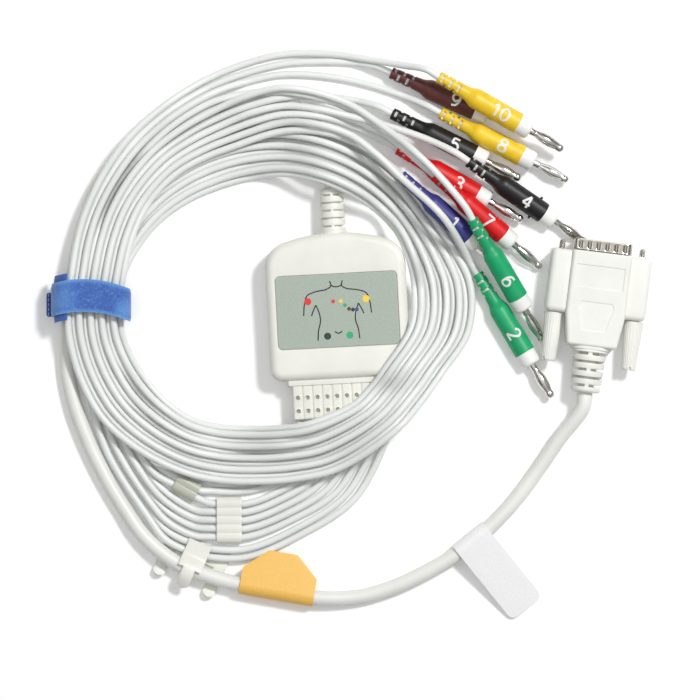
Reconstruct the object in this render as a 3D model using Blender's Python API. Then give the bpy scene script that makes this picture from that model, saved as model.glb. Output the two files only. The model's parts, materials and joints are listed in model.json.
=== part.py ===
"""Ten-lead patient cable of a heart monitor, coiled, tied and laid on a table.

A D-shaped connector, a trunk cable, a junction box (the yoke), ten lead wires with banana plugs, a
hook-and-loop tie, two wire keepers, a three-prong clip and two cable tags. Lengths are metres, +Z is up,
and the origin is the middle of the yoke's underside, on the table. Seen from above, +Y is the side where
the trunk leaves the yoke.
"""

import math

import bmesh
import bpy
import numpy as np
from mathutils import Euler, Matrix, Vector

MM = 0.001

# Gaps between pieces
FIT = 0.0003
LEAD_CLEAR = 0.00025
SELF_CLEAR = 0.0006

# Cords
LEAD_DIA = 0.0029
TRUNK_DIA = 0.0062

# Yoke housing
YOKE_TURN = math.radians(3.0)
YOKE_WIDTH = 0.058
YOKE_TOP = 0.0352
YOKE_BOTTOM = 0.0250
YOKE_HEIGHT = 0.0145
YOKE_WALL = 0.0020
YOKE_EDGE = 0.0034
YOKE_FOOT = 0.0010
YOKE_ARCH_R = 0.070
YOKE_SHOULDER_R = 0.011
YOKE_CORNER_R = 0.005
LABEL_WIDTH = 0.050
LABEL_HEIGHT = 0.030
LABEL_SHIFT = 0.003
LABEL_CORNER_R = 0.0018
LABEL_THICK = 0.0003
BOARD_INSET = 0.0050
BOARD_THICK = 0.0016
BOARD_STANDOFF = 0.0025
POST_R = 0.0022
RESISTOR_LENGTH = 0.0032
RESISTOR_WIDTH = 0.0016
RESISTOR_HEIGHT = 0.0012

# Strain-relief block where the leads leave the yoke
LEAD_COUNT = 10
LEAD_PITCH = 0.00405
BLOCK_LENGTH = 0.0137
BLOCK_THICK = 0.0080
BLOCK_MARGIN = 0.0020
BLOCK_LIP = 0.0023
LIP_LENGTH = 0.0023
GROOVE = 0.0005
PIT_R = 0.0007
PIT_DEPTH = 0.0016
PIT_ROWS = (0.0036, 0.0091)

# Trunk relief on the yoke
YOKE_RELIEF_LENGTH = 0.0180
YOKE_RELIEF_BASE_R = 0.0053
YOKE_RELIEF_END_R = 0.0047
RELIEF_STEM = 0.0030
RELIEF_SLOT = 0.0009
RELIEF_SLOT_DEPTH = 0.0012
RELIEF_STEP = 0.0001
RELIEF_SLOTS = 5
RELIEF_LEAD_IN = 0.8
RELIEF_SIDES = 12

# D connector with fifteen contacts
HOOD_AT = (0.1090, 0.0267)
HOOD_TURN = math.radians(-7.0)
SCREW_SPACING = 0.0333
FLANGE_MARGIN = 0.0057
FLANGE_WIDTH = SCREW_SPACING + FLANGE_MARGIN
HOOD_MARGIN = 0.0027
HOOD_WIDTH = FLANGE_WIDTH + HOOD_MARGIN
HOOD_HEIGHT = 0.0160
EAR_LENGTH = 0.0262
EAR_WIDTH = 0.0086
EAR_HEIGHT = 0.0125
EAR_CORNER_R = 0.0030
HOOD_LENGTH = 0.0390
HOOD_WAIST = 0.0180
HOOD_EDGE = 0.0012
PANEL_WIDTH = 0.0202
PANEL_LENGTH = 0.0096
PANEL_BACK = 0.0056
PANEL_DEPTH = 0.0004
GRIP_WIDE = 0.0150
GRIP_NARROW = 0.0100
GRIP_LENGTH = 0.0120
GRIP_BACK = 0.0206
SCREW_R = 0.00130
SCREW_PROUD = 0.0036
KNOB_LENGTH = 0.0205
KNOB_FRONT_R = 0.0040
KNOB_REAR_R = 0.0029
KNOB_SLOT = 0.0010
KNOB_SIDES = 14
FLANGE_HEIGHT = 0.0125
FLANGE_THICK = 0.0008
SHELL_WIDTH = 0.0250
SHELL_HEIGHT = 0.0084
SHELL_PROUD = 0.0050
SHELL_WALL = 0.0005
SHELL_SLANT = math.radians(10)
SHELL_CORNER_R = 0.0022
INSERT_DEPTH = 0.0045
CONTACT_PITCH = 0.00277
CONTACT_ROWS = 0.00284
CONTACT_R = 0.0005
CONTACT_PROUD = 0.0043
HOOD_RELIEF_LENGTH = 0.0185
HOOD_RELIEF_BASE_R = 0.0071
HOOD_RELIEF_END_R = 0.0061

# Banana plugs: lengths run from the tail, where the lead enters
BOOT_TAIL = 0.0110
BOOT_CONE = 0.0055
BOOT_LENGTH = 0.0380
BOOT_TAIL_R = 0.0025
BOOT_NECK_R = 0.0028
BOOT_BODY_R = 0.0040
BOOT_FRONT_R = 0.0044
BOOT_SOCKET = 0.0060
BOOT_WINDOWS = 3
BOOT_WINDOW = 0.0016
BOOT_WINDOW_DEPTH = 0.0008
BOOT_LEAD_IN = 0.55
BOOT_LEAD_OUT = 0.4
PLUG_SIDES = 10
COLLAR_LENGTH = 0.0055
COLLAR_R = 0.0042
COLLAR_STEM_R = 0.0027
COLLAR_CHAMFER = 0.0008
PIN_LENGTH = 0.0158
PIN_BULGE_R = 0.0021
PIN_NECK_R = 0.0015
PIN_STEM_R = 0.0021
PIN_STEM = 0.0045
PIN_LEAVES = 4
PIN_SLIT = 0.72
PIN_STATIONS = (0.20, 0.48, 0.82)
PIN_NOSE = 0.0009

# Hook-and-loop tie
TIE_WIDTH = 0.0135
TIE_THICK = 0.0016
TIE_LEFT = -0.1164
TIE_RIGHT = -0.0850
TIE_INNER_HEIGHT = 0.0126
TIE_Y = 0.0078
TIE_HEAD_WIDTH = 0.0200
TIE_HEAD_REACH = 0.0060
TIE_FOLD_R = 0.0044

# Wire keepers and the three-prong clip
KEEPER_LENGTH = 0.0103
KEEPER_WALL = 0.0008
KEEPER_CLEAR = 0.0004
CLIP_PLATE = 0.0014
CLIP_FINGER = 0.0053
CLIP_SPREAD = 0.0112
CLIP_TOP_LENGTH = 0.0100

# Cable tags
TAG_THICK = 0.0005


# Plugs: number, colour, tail (x, y, z) in millimetres, heading and downward pitch in degrees.
# The order is the order of the leads along the yoke's block.
PLUGS = (
    ("01", "blue", (26.0, 58.5, 13.8), -41.5, 10.0),
    ("02", "green", (57.8, 18.3, 4.6), -59.0, 0.0),
    ("03", "red", (24.7, 70.0, 4.6), -29.8, 0.0),
    ("04", "black", (53.8, 64.4, 11.2), -34.1, 9.0),
    ("05", "black", (22.4, 84.6, 4.6), -27.0, 0.0),
    ("06", "green", (55.3, 40.3, 16.6), -59.3, 13.0),
    ("07", "red", (39.6, 58.6, 14.9), -40.4, 12.0),
    ("08", "yellow", (42.5, 84.8, 4.6), -28.0, 0.0),
    ("09", "brown", (22.0, 101.4, 4.6), -23.5, 0.0),
    ("10", "yellow", (41.5, 99.0, 15.0), -30.0, 6.0),
)

# Routes of the leads
# Each station holds where lead 01 and lead 10 pass, in millimetres; the other leads share the way between
# them evenly. The leads leave the block, turn left, go once round through the tie, come back over the
# block, go through the tie again on top of the first turn and end at the plugs.
FIRST_TURN = (
    ((-18.6, -52.8), (18.4, -54.6)),
    ((-25.5, -61.2), (6.6, -75.4)),
    ((-37.5, -66.4), (-37.5, -97.6)),
    ((-52.5, -66.4), (-52.5, -97.6)),
    ((-56.8, -64.4), (-60.2, -95.6)),
    ((-66.6, -58.6), (-70.9, -90.3)),
    ((-75.6, -54.4), (-78.8, -82.0)),
    ((-84.0, -38.0), (-95.2, -56.2)),
    ((-91.0, -6.0), (-106.6, -8.0)),
    ((-88.2, 20.0), (-104.6, 20.0)),
    ((-72.5, 42.0), (-83.6, 55.0)),
    ((-50.0, 54.5), (-58.0, 74.5)),
    ((-22.0, 59.5), (-24.0, 80.5)),
    ((8.0, 50.0), (14.0, 68.0)),
    ((24.8, 34.9), (37.6, 43.6)),
    ((31.8, 12.0), (55.0, 13.0)),
    ((30.4, -4.0), (53.8, -6.0)),
    ((20.0, -20.5), (43.4, -22.0)),
)
SECOND_TURN = (
    ((6.5, -36.0), (24.0, -46.0)),
    ((-12.0, -43.8), (0.5, -62.0)),
    ((-37.0, -46.0), (-35.0, -67.6)),
    ((-60.0, -42.5), (-64.0, -63.5)),
    ((-78.0, -28.0), (-96.5, -42.0)),
    ((-89.4, -6.0), (-110.6, -8.0)),
    ((-88.2, 20.0), (-109.4, 20.0)),
    ((-80.0, 45.0), (-103.6, 45.0)),
    ((-65.0, 61.0), (-85.6, 75.0)),
    ((-44.0, 70.5), (-54.0, 99.0)),
)
# The last points before each plug, from the top of the coil on.
LAST_POINTS = (
    ((-22.0, 77.0), (-3.0, 75.6), (11.0, 70.2)),
    ((-22.0, 80.5), (5.0, 75.0), (26.0, 57.4), (43.0, 41.4)),
    ((-22.0, 84.0), (-6.0, 82.8), (8.0, 78.6)),
    ((-22.0, 87.5), (4.0, 83.4), (20.0, 79.4), (37.0, 73.6)),
    ((-22.0, 91.0), (-6.0, 91.6), (7.0, 90.2)),
    ((-22.0, 94.6), (2.0, 89.4), (22.0, 76.2), (41.0, 58.8)),
    ((-22.0, 93.2), (0.0, 88.4), (15.0, 79.6), (27.0, 70.0)),
    ((-22.0, 101.0), (-2.0, 99.8), (13.0, 96.6), (27.0, 92.0)),
    ((-22.0, 105.4), (-8.0, 106.2), (6.0, 105.8)),
    ((-22.0, 109.4), (-2.0, 109.2), (13.0, 106.8), (27.0, 104.0)),
)
TRUNK_POINTS = (
    (-3.9, 66.0, 4.6), (-8.0, 78.5, 3.2), (-19.0, 88.2, 3.2), (-38.0, 90.0, 3.2), (-58.0, 85.0, 3.2),
    (-75.0, 77.2, 3.2), (-88.0, 68.0, 3.2), (-97.4, 57.5, 3.2), (-104.4, 41.0, 3.2), (-108.8, 23.0, 4.4),
    (-110.7, 8.0, 5.1), (-111.6, -6.0, 4.8), (-112.2, -18.0, 3.2), (-109.0, -36.0, 3.2),
    (-100.0, -58.5, 3.2), (-88.2, -79.2, 3.4), (-75.2, -95.6, 5.0), (-60.8, -104.2, 5.0),
    (-47.0, -108.6, 4.9), (-40.0, -110.4, 4.7), (-25.5, -113.0, 4.7), (-11.0, -115.6, 4.7),
    (5.0, -116.0, 3.3), (20.0, -112.5, 3.2), (35.0, -106.0, 3.6), (50.0, -97.0, 4.5), (63.0, -86.4, 4.5),
    (78.0, -70.0, 3.2), (88.0, -55.0, 3.8),
)

# The trunk gets a point every so many of its own diameters
TRUNK_STEP = 2.4

# Lay-up of the leads, in millimetres: straight ends, longest step between points, steepest slope, the
# share of a rise taken in one round, most rounds, readings in each step, the way along after which a lead
# lies on top of itself or of others, the rise that is small enough to stop, and how many readings are
# compared at once.
STRAIGHT = 6.0
STEP = 25.0
SLOPE = 0.45
SETTLE = 0.4
ROUNDS = 600
SAMPLES = 12
SAME_TURN = 150.0
SETTLED = 0.01
BATCH = 400
# Readings along the trunk, a relief, a plug and a lead when gaps and heights are worked out
TRUNK_READINGS = 400
RELIEF_READINGS = 30
PLUG_READINGS = 80
GAP_READINGS = 1200
GAP_SKIP = 12

# Wire keepers: name, leads held, the first of them, the first turn's stations on both sides of it, colour
KEEPERS = (
    ("keeper_five", 5, 3, (2, 3), "keeper"),
    ("keeper_two", 2, 2, (4, 5), "grey"),
)

# Three-prong clip: middle in millimetres and turn; then, across the leads, its base, its wall, its prongs'
# reach; the middle prong's height and thickness, and its narrowing over the last two stations
CLIP_AT = (-57.9, -95.8)
CLIP_TURN = math.radians(-24.0)
CLIP_BASE = (-0.0034, 0.0046)
CLIP_WALL = (0.0040, 0.0048)
CLIP_REACH = 0.0148
CLIP_ARCH = 0.0095
CLIP_PRONG = 0.0011
CLIP_NARROWING = (0.94, 0.5)

# Tags: name, colour, x of the middle in millimetres, width, reach, cut of the corners along and across the
# trunk, wrap clearance, and the flag's side of the trunk, 1 for left on the way to the connector. They sit
# on the stretch of the trunk that lies below TAGS_BELOW.
TAGS = (
    ("orange_tag", "orange", -25.6, 0.0310, 0.0160, (0.0095, 0.0085), 0.0008, 1),
    ("flag_tag", "white", 56.0, 0.0160, 0.0370, (0.0035, 0.0035), 0.0007, -1),
)
TAGS_BELOW = -0.08


def clear_scene():
    """Remove every object that the file opened with."""
    for old in list(bpy.data.objects):
        bpy.data.objects.remove(old, do_unlink=True)


def material(name, colour, roughness, metallic=0.0):
    """A plain Principled surface; colour is sRGB in 0 to 1."""
    surface = bpy.data.materials.new(name)
    surface.use_nodes = True
    shader = surface.node_tree.nodes["Principled BSDF"]
    linear = [((c + 0.055) / 1.055) ** 2.4 if c > 0.04045 else c / 12.92 for c in colour]
    shader.inputs["Base Color"].default_value = (*linear, 1.0)
    shader.inputs["Roughness"].default_value = roughness
    shader.inputs["Metallic"].default_value = metallic
    surface.diffuse_color = (*linear, 1.0)
    return surface


def empty(name, location, turn=(0.0, 0.0, 0.0)):
    """A parent that places the pieces of one assembly."""
    holder = bpy.data.objects.new(name, None)
    holder.location = location
    holder.rotation_euler = turn
    bpy.context.collection.objects.link(holder)
    return holder


def add_object(name, bm, surface, parent=None, smooth=40):
    """Turn a bmesh into a named object, faces out, shaded smooth up to an angle in degrees."""
    bmesh.ops.recalc_face_normals(bm, faces=bm.faces)
    mesh = bpy.data.meshes.new(name)
    bm.to_mesh(mesh)
    bm.free()
    mesh.shade_smooth()
    mesh.set_sharp_from_angle(angle=math.radians(smooth))
    piece = bpy.data.objects.new(name, mesh)
    if surface:
        mesh.materials.append(surface)
    piece.parent = parent
    bpy.context.collection.objects.link(piece)
    return piece


def boolean(piece, bm, operation, parent=None):
    """Cut a shape out of a piece, or join it on, with a hidden helper object."""
    helper = add_object(piece.name + "_helper", bm, None, parent)
    helper.hide_render = True
    helper.display_type = "WIRE"
    step = piece.modifiers.new(operation.title(), "BOOLEAN")
    step.operation = operation
    step.object = helper
    return helper


def loft(rings, closed=False):
    """Bridge rings of equal count in order; cap both ends, or join the last ring to the first."""
    bm = bmesh.new()
    rows = [[bm.verts.new(point) for point in ring] for ring in rings]
    pairs = list(zip(rows, rows[1:]))
    if closed:
        pairs.append((rows[-1], rows[0]))
    count = len(rows[0])
    for row, after in pairs:
        for i in range(count):
            j = (i + 1) % count
            bm.faces.new((row[i], row[j], after[j], after[i]))
    if not closed:
        bm.faces.new(rows[0][::-1])
        bm.faces.new(rows[-1])
    return bm


def lathe(profile, sides, closed=False, radius=None):
    """Turn (x, r) stations about local X. radius(i, k, r) may change r at ring i, side k."""
    rings = []
    for i, (x, r) in enumerate(profile):
        ring = []
        for k in range(sides):
            angle = 2 * math.pi * (k + 0.5) / sides
            at = radius(i, k, r) if radius else r
            ring.append((x, at * math.cos(angle), at * math.sin(angle)))
        rings.append(ring)
    return loft(rings, closed)


def plate(outline, low, high, holes=()):
    """Extrude a flat outline with holes from z = low to z = high."""
    bm = bmesh.new()
    edges = []
    for loop in (outline, *holes):
        verts = [bm.verts.new((x, y, low)) for x, y in loop]
        for i, vert in enumerate(verts):
            edges.append(bm.edges.new((vert, verts[(i + 1) % len(verts)])))
    if holes:
        bmesh.ops.triangle_fill(bm, edges=edges, use_beauty=True)
    else:
        bm.faces.new(list(bm.verts))
    grown = bmesh.ops.extrude_face_region(bm, geom=list(bm.faces))
    moved = [item for item in grown["geom"] if isinstance(item, bmesh.types.BMVert)]
    bmesh.ops.translate(bm, verts=moved, vec=(0, 0, high - low))
    return bm


def box(x0, x1, y0, y1, z0, z1):
    """A plain block between two corners."""
    return plate([(x0, y0), (x1, y0), (x1, y1), (x0, y1)], z0, z1)


def turned(bm, matrix):
    """Move every point of a bmesh by a matrix."""
    bmesh.ops.transform(bm, matrix=matrix, verts=bm.verts)
    return bm


def arc(cx, cy, r, start, end, steps):
    """Points on an arc, in degrees, both ends included."""
    angles = [math.radians(start + (end - start) * i / steps) for i in range(steps + 1)]
    return [(cx + r * math.cos(a), cy + r * math.sin(a)) for a in angles]


def rounded(x0, x1, y0, y1, r, steps=3):
    """A rectangle with round corners, anticlockwise from its lower right corner."""
    return (arc(x1 - r, y0 + r, r, -90, 0, steps) + arc(x1 - r, y1 - r, r, 0, 90, steps)
            + arc(x0 + r, y1 - r, r, 90, 180, steps) + arc(x0 + r, y0 + r, r, 180, 270, steps))


ALONG_Y = Matrix.Rotation(math.radians(90), 4, "Z")
BACK_Y = Matrix.Rotation(math.radians(-90), 4, "Z")
ACROSS_X = Matrix(((0, 0, 1, 0), (1, 0, 0, 0), (0, 1, 0, 0), (0, 0, 0, 1)))


# Yoke

def yoke_outline(inset):
    """The yoke seen from above: a flat foot, straight sides, round shoulders and a shallow arch."""
    half = YOKE_WIDTH / 2
    side = half - YOKE_SHOULDER_R
    rise = math.sqrt((YOKE_ARCH_R - YOKE_SHOULDER_R) ** 2 - side ** 2)
    arch_y = YOKE_TOP - YOKE_ARCH_R
    shoulder_y = arch_y + rise
    lean = math.degrees(math.atan2(rise, side))
    corner_x = half - YOKE_CORNER_R
    corner_y = YOKE_CORNER_R - YOKE_BOTTOM
    r = YOKE_CORNER_R - inset
    shoulder = YOKE_SHOULDER_R - inset
    return (arc(corner_x, corner_y, r, -90, 0, 3)
            + arc(side, shoulder_y, shoulder, 0, lean, 4)
            + arc(0, arch_y, YOKE_ARCH_R - inset, lean, 180 - lean, 6)[1:-1]
            + arc(-side, shoulder_y, shoulder, 180 - lean, 180, 4)
            + arc(-corner_x, corner_y, r, 180, 270, 3))


def yoke_shell(seam, outer, inner_z):
    """Half of the housing: a cavity open at the seam and an outer wall; outer lists (inset, z)."""
    stations = [(YOKE_WALL, inner_z), (YOKE_WALL, seam), (0.0, seam), *outer]
    return loft([[(x, y, z) for x, y in yoke_outline(inset)] for inset, z in stations])


def block_half_width():
    """Half the width of the strain-relief block, from its columns."""
    return LEAD_PITCH * (LEAD_COUNT - 1) / 2 + BLOCK_MARGIN


def yoke_openings(piece, parent):
    """Cut the ways out for the strain-relief block and for the trunk relief."""
    half = block_half_width() + FIT
    deep = YOKE_WALL + FIT
    mid = YOKE_HEIGHT / 2
    thick = BLOCK_THICK / 2 + FIT
    boolean(piece, box(-half, half, -YOKE_BOTTOM - deep, -YOKE_BOTTOM + deep, mid - thick, mid + thick),
            "DIFFERENCE", parent)
    reach = YOKE_WALL + RELIEF_STEM
    neck = YOKE_RELIEF_BASE_R - RELIEF_SLOT_DEPTH + FIT
    hole = lathe([(YOKE_TOP - reach, neck), (YOKE_TOP + reach, neck)], RELIEF_SIDES)
    boolean(piece, turned(hole, Matrix.Translation((0, 0, mid)) @ ALONG_Y), "DIFFERENCE", parent)


def label_outline(grow):
    """The label's rectangle, grown by a clearance."""
    half_x = LABEL_WIDTH / 2 + grow
    half_y = LABEL_HEIGHT / 2 + grow
    return rounded(-half_x, half_x, LABEL_SHIFT - half_y, LABEL_SHIFT + half_y, LABEL_CORNER_R + grow)


def post_places():
    """The four board posts, near the corners of the board."""
    reach_x = YOKE_WIDTH / 2 - YOKE_WALL - BOARD_INSET - POST_R
    low = -YOKE_BOTTOM + YOKE_WALL + BOARD_INSET + POST_R
    return [(sx * reach_x, y) for sx in (-1, 1) for y in (low, LABEL_SHIFT + LABEL_HEIGHT / 2)]


def make_yoke(surfaces, parent):
    """Two shells, the label in its recess and the protection board on its posts."""
    half_gap = FIT / 2
    mid = YOKE_HEIGHT / 2
    bulge = YOKE_EDGE * (1 - math.sqrt(0.5))
    upper = [(0.0, YOKE_HEIGHT - YOKE_EDGE), (bulge, YOKE_HEIGHT - bulge), (YOKE_EDGE, YOKE_HEIGHT)]
    shell = add_object("yoke_upper_shell", yoke_shell(mid + half_gap, upper, YOKE_HEIGHT - YOKE_WALL),
                       surfaces["shell"], parent)
    recess = plate(label_outline(FIT), YOKE_HEIGHT - LABEL_THICK - FIT, YOKE_HEIGHT + YOKE_WALL)
    boolean(shell, recess, "DIFFERENCE", parent)
    yoke_openings(shell, parent)

    lower = [(0.0, YOKE_FOOT), (YOKE_FOOT, 0.0)]
    base = add_object("yoke_lower_shell", yoke_shell(mid - half_gap, lower, YOKE_WALL),
                      surfaces["shell"], parent)
    yoke_openings(base, parent)
    for x, y in post_places():
        post = plate(arc(x, y, POST_R, 0, 315, 7), YOKE_WALL / 2, YOKE_WALL + BOARD_STANDOFF)
        boolean(base, post, "UNION", parent)

    add_object("yoke_label", plate(label_outline(0.0), YOKE_HEIGHT - LABEL_THICK, YOKE_HEIGHT),
               surfaces["label"], parent)

    low = YOKE_WALL + BOARD_STANDOFF + FIT
    half_x = YOKE_WIDTH / 2 - YOKE_WALL - BOARD_INSET + POST_R
    y0 = -YOKE_BOTTOM + YOKE_WALL + BOARD_INSET
    y1 = LABEL_SHIFT + LABEL_HEIGHT / 2 + 2 * POST_R
    board = add_object("protection_board",
                       plate(rounded(-half_x, half_x, y0, y1, POST_R), low, low + BOARD_THICK),
                       surfaces["board"], parent)
    row = y0 + BOARD_INSET
    for x in lead_columns():
        chip = box(x - RESISTOR_WIDTH / 2, x + RESISTOR_WIDTH / 2, row, row + RESISTOR_LENGTH,
                   low + BOARD_THICK / 2, low + BOARD_THICK + RESISTOR_HEIGHT)
        boolean(board, chip, "UNION", parent)


def lead_columns():
    """Where the ten leads leave the block, across it."""
    return [LEAD_PITCH * (i - (LEAD_COUNT - 1) / 2) for i in range(LEAD_COUNT)]


def block_end():
    """How far the block's end face lies from the yoke's middle, towards -Y."""
    return YOKE_BOTTOM + LIP_LENGTH + FIT + BLOCK_LENGTH


def make_lead_block(surface, parent):
    """The strain-relief block: a lip on the housing, ten grooved fingers and two rows of pits."""
    half = block_half_width()
    mid = YOKE_HEIGHT / 2
    top = mid + BLOCK_THICK / 2
    low = mid - BLOCK_THICK / 2
    edges = [x + LEAD_PITCH / 2 for x in lead_columns()[:-1]]
    above = [(x + dx, top - dz) for x in edges for dx, dz in ((-GROOVE, 0), (0, GROOVE), (GROOVE, 0))]
    section = [(-half, low), (half, low), (half, top), *above[::-1], (-half, top)]
    inner = -YOKE_BOTTOM + YOKE_WALL + FIT
    fingers = plate(section, -inner, block_end())
    body = add_object("lead_block", turned(fingers, Matrix.Rotation(math.radians(90), 4, "X")),
                      surface, parent)
    lip = half + BLOCK_LIP - GROOVE
    face = -YOKE_BOTTOM - FIT
    boolean(body, box(-lip, lip, face - LIP_LENGTH, face, low - GROOVE, top + GROOVE), "UNION", parent)
    boolean(body, box(-lip, lip, inner, inner + BLOCK_LIP, low - GROOVE, top + GROOVE), "UNION", parent)
    for x in lead_columns():
        for row in PIT_ROWS:
            y = row - block_end()
            pit = plate(arc(x, y, PIT_R, 45, 315, 3), top - PIT_DEPTH, top + PIT_DEPTH)
            boolean(body, pit, "DIFFERENCE", parent)


def slot_edges(width):
    """Where a slot's rims and floor lie along a turned piece, and which of them are the floor."""
    return ((-RELIEF_STEP, False), (0.0, True), (width, True), (width + RELIEF_STEP, False))


def relief(length, base_r, end_r, stem):
    """A bend relief along local X: its stem, then staggered slots.

    stem lists (x, r) stations before x = 0. Each slot stops at two webs, which turn by a quarter from one
    slot to the next.
    """
    profile = list(stem) + [(0.0, base_r)]
    slotted = {}
    pitch = length / (RELIEF_SLOTS + 1)
    for n in range(RELIEF_SLOTS):
        x = pitch * (n + RELIEF_LEAD_IN)
        r = base_r + (end_r - base_r) * x / length
        for offset, cut in slot_edges(RELIEF_SLOT):
            if cut:
                slotted[len(profile)] = n % 2
            profile.append((x + offset, r))
    profile.append((length - RELIEF_SLOT, end_r))
    profile.append((length, end_r - RELIEF_SLOT / 2))

    def radius(i, k, r):
        """Sink the slot's floor, except at the webs."""
        if i not in slotted:
            return r
        web = (k + 1 + 3 * slotted[i]) % (RELIEF_SIDES // 2)
        return r if web < 2 else r - RELIEF_SLOT_DEPTH

    return lathe(profile, RELIEF_SIDES, radius=radius)


def make_yoke_relief(surface, parent):
    """The trunk's relief on the yoke, held by a flange behind the wall."""
    neck = YOKE_RELIEF_BASE_R - RELIEF_SLOT_DEPTH
    inside = -YOKE_WALL - 2 * FIT
    stem = [(inside - RELIEF_STEM, YOKE_RELIEF_BASE_R), (inside, YOKE_RELIEF_BASE_R), (inside, neck),
            (0, neck)]
    body = relief(YOKE_RELIEF_LENGTH, YOKE_RELIEF_BASE_R, YOKE_RELIEF_END_R, stem)
    place = Matrix.Translation((0, YOKE_TOP + FIT, YOKE_HEIGHT / 2)) @ ALONG_Y
    add_object("yoke_relief", turned(body, place), surface, parent)


# Connector

def d_outline(width, height, inset=0.0):
    """The D of the connector's shell in its mating plane: wide at the top, slanted sides, round corners."""
    half = width / 2 - inset
    tall = height / 2 - inset
    slide = 2 * tall * math.tan(SHELL_SLANT)
    r = SHELL_CORNER_R - inset
    lean = math.degrees(SHELL_SLANT)
    top = half - r
    bottom = half - slide - r + slide * r / tall / 2
    return (arc(bottom, r - tall, r, -90, -lean, 3) + arc(top, tall - r, r, -lean, 90, 3)
            + arc(-top, tall - r, r, 90, 180 + lean, 3) + arc(-bottom, r - tall, r, 180 + lean, 270, 3))


def facing_front(bm, front):
    """Stand a plate drawn in XY up, so that its z becomes +Y from the hood's front face."""
    stand = Matrix(((1, 0, 0, 0), (0, 0, 1, front), (0, 1, 0, HOOD_HEIGHT / 2), (0, 0, 0, 1)))
    return turned(bm, stand)


def hood_outline(inset):
    """The hood's middle seen from above, front at y = 0, drawn in at the back."""
    front = HOOD_WIDTH / 2 - EAR_WIDTH - inset
    back = HOOD_WAIST / 2 - inset
    end = -HOOD_LENGTH + inset
    taper = -EAR_LENGTH
    return [(front, -inset), (front, taper), (back + HOOD_EDGE, end + 2 * HOOD_EDGE), (back, end),
            (-back, end), (-back - HOOD_EDGE, end + 2 * HOOD_EDGE), (-front, taper), (-front, -inset)]


def make_hood(surface, parent):
    """The moulded hood: a tapered middle, two ears for the screws, a panel recess and a grip recess."""
    high = HOOD_HEIGHT - HOOD_EDGE
    stations = [(HOOD_EDGE, 0.0), (0.0, HOOD_EDGE), (0.0, high), (HOOD_EDGE, HOOD_HEIGHT)]
    middle = loft([[(x, min(y, 0.0), z) for x, y in hood_outline(inset)] for inset, z in stations])
    hood = add_object("connector_hood", middle, surface, parent)
    for side in (-1, 1):
        outer = side * HOOD_WIDTH / 2
        inner = side * (HOOD_WIDTH / 2 - EAR_WIDTH - HOOD_EDGE)
        section = rounded(min(outer, inner), max(outer, inner), -EAR_HEIGHT / 2, EAR_HEIGHT / 2,
                          EAR_CORNER_R)
        boolean(hood, facing_front(plate(section, 0.0, EAR_LENGTH), -EAR_LENGTH), "UNION", parent)
        bore = arc(side * SCREW_SPACING / 2, 0.0, SCREW_R + 2 * FIT, 0, 330, 11)
        tunnel = facing_front(plate(bore, -FIT, EAR_LENGTH + HOOD_EDGE), -EAR_LENGTH)
        boolean(hood, tunnel, "DIFFERENCE", parent)
    seat = rounded(-FLANGE_WIDTH / 2 - FIT, FLANGE_WIDTH / 2 + FIT, -FLANGE_HEIGHT / 2 - FIT,
                   FLANGE_HEIGHT / 2 + FIT, HOOD_EDGE)
    boolean(hood, facing_front(plate(seat, 0.0, FLANGE_THICK + HOOD_EDGE), -FLANGE_THICK - FIT),
            "DIFFERENCE", parent)
    pocket = d_outline(SHELL_WIDTH, SHELL_HEIGHT, SHELL_WALL + FIT)
    boolean(hood, facing_front(plate(pocket, 0.0, INSERT_DEPTH + HOOD_EDGE), -INSERT_DEPTH - 2 * FIT),
            "DIFFERENCE", parent)
    half = PANEL_WIDTH / 2
    panel = rounded(-half, half, -PANEL_BACK - PANEL_LENGTH, -PANEL_BACK, HOOD_EDGE / 2, 2)
    boolean(hood, plate(panel, HOOD_HEIGHT - PANEL_DEPTH, HOOD_HEIGHT + HOOD_EDGE), "DIFFERENCE", parent)
    near = -GRIP_BACK
    far = -GRIP_BACK - GRIP_LENGTH
    grip = [(GRIP_WIDE / 2, near), (-GRIP_WIDE / 2, near), (-GRIP_NARROW / 2, far), (GRIP_NARROW / 2, far)]
    boolean(hood, plate(grip, HOOD_HEIGHT - PANEL_DEPTH, HOOD_HEIGHT + HOOD_EDGE), "DIFFERENCE", parent)
    neck = HOOD_RELIEF_BASE_R - RELIEF_SLOT_DEPTH + FIT
    hole = lathe([(0.0, neck), (RELIEF_STEM + 2 * FIT, neck)], RELIEF_SIDES)
    place = Matrix.Translation((0, -HOOD_LENGTH - FIT + RELIEF_STEM, HOOD_HEIGHT / 2)) @ BACK_Y
    boolean(hood, turned(hole, place), "DIFFERENCE", parent)


def make_connector_relief(surface, parent):
    """The bend relief behind the hood, stemmed into it."""
    neck = HOOD_RELIEF_BASE_R - RELIEF_SLOT_DEPTH
    stem = [(-RELIEF_STEM + 2 * FIT, neck), (0, neck)]
    body = relief(HOOD_RELIEF_LENGTH, HOOD_RELIEF_BASE_R, HOOD_RELIEF_END_R, stem)
    place = Matrix.Translation((0, -HOOD_LENGTH - FIT, HOOD_HEIGHT / 2)) @ BACK_Y
    add_object("connector_relief", turned(body, place), surface, parent)


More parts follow.
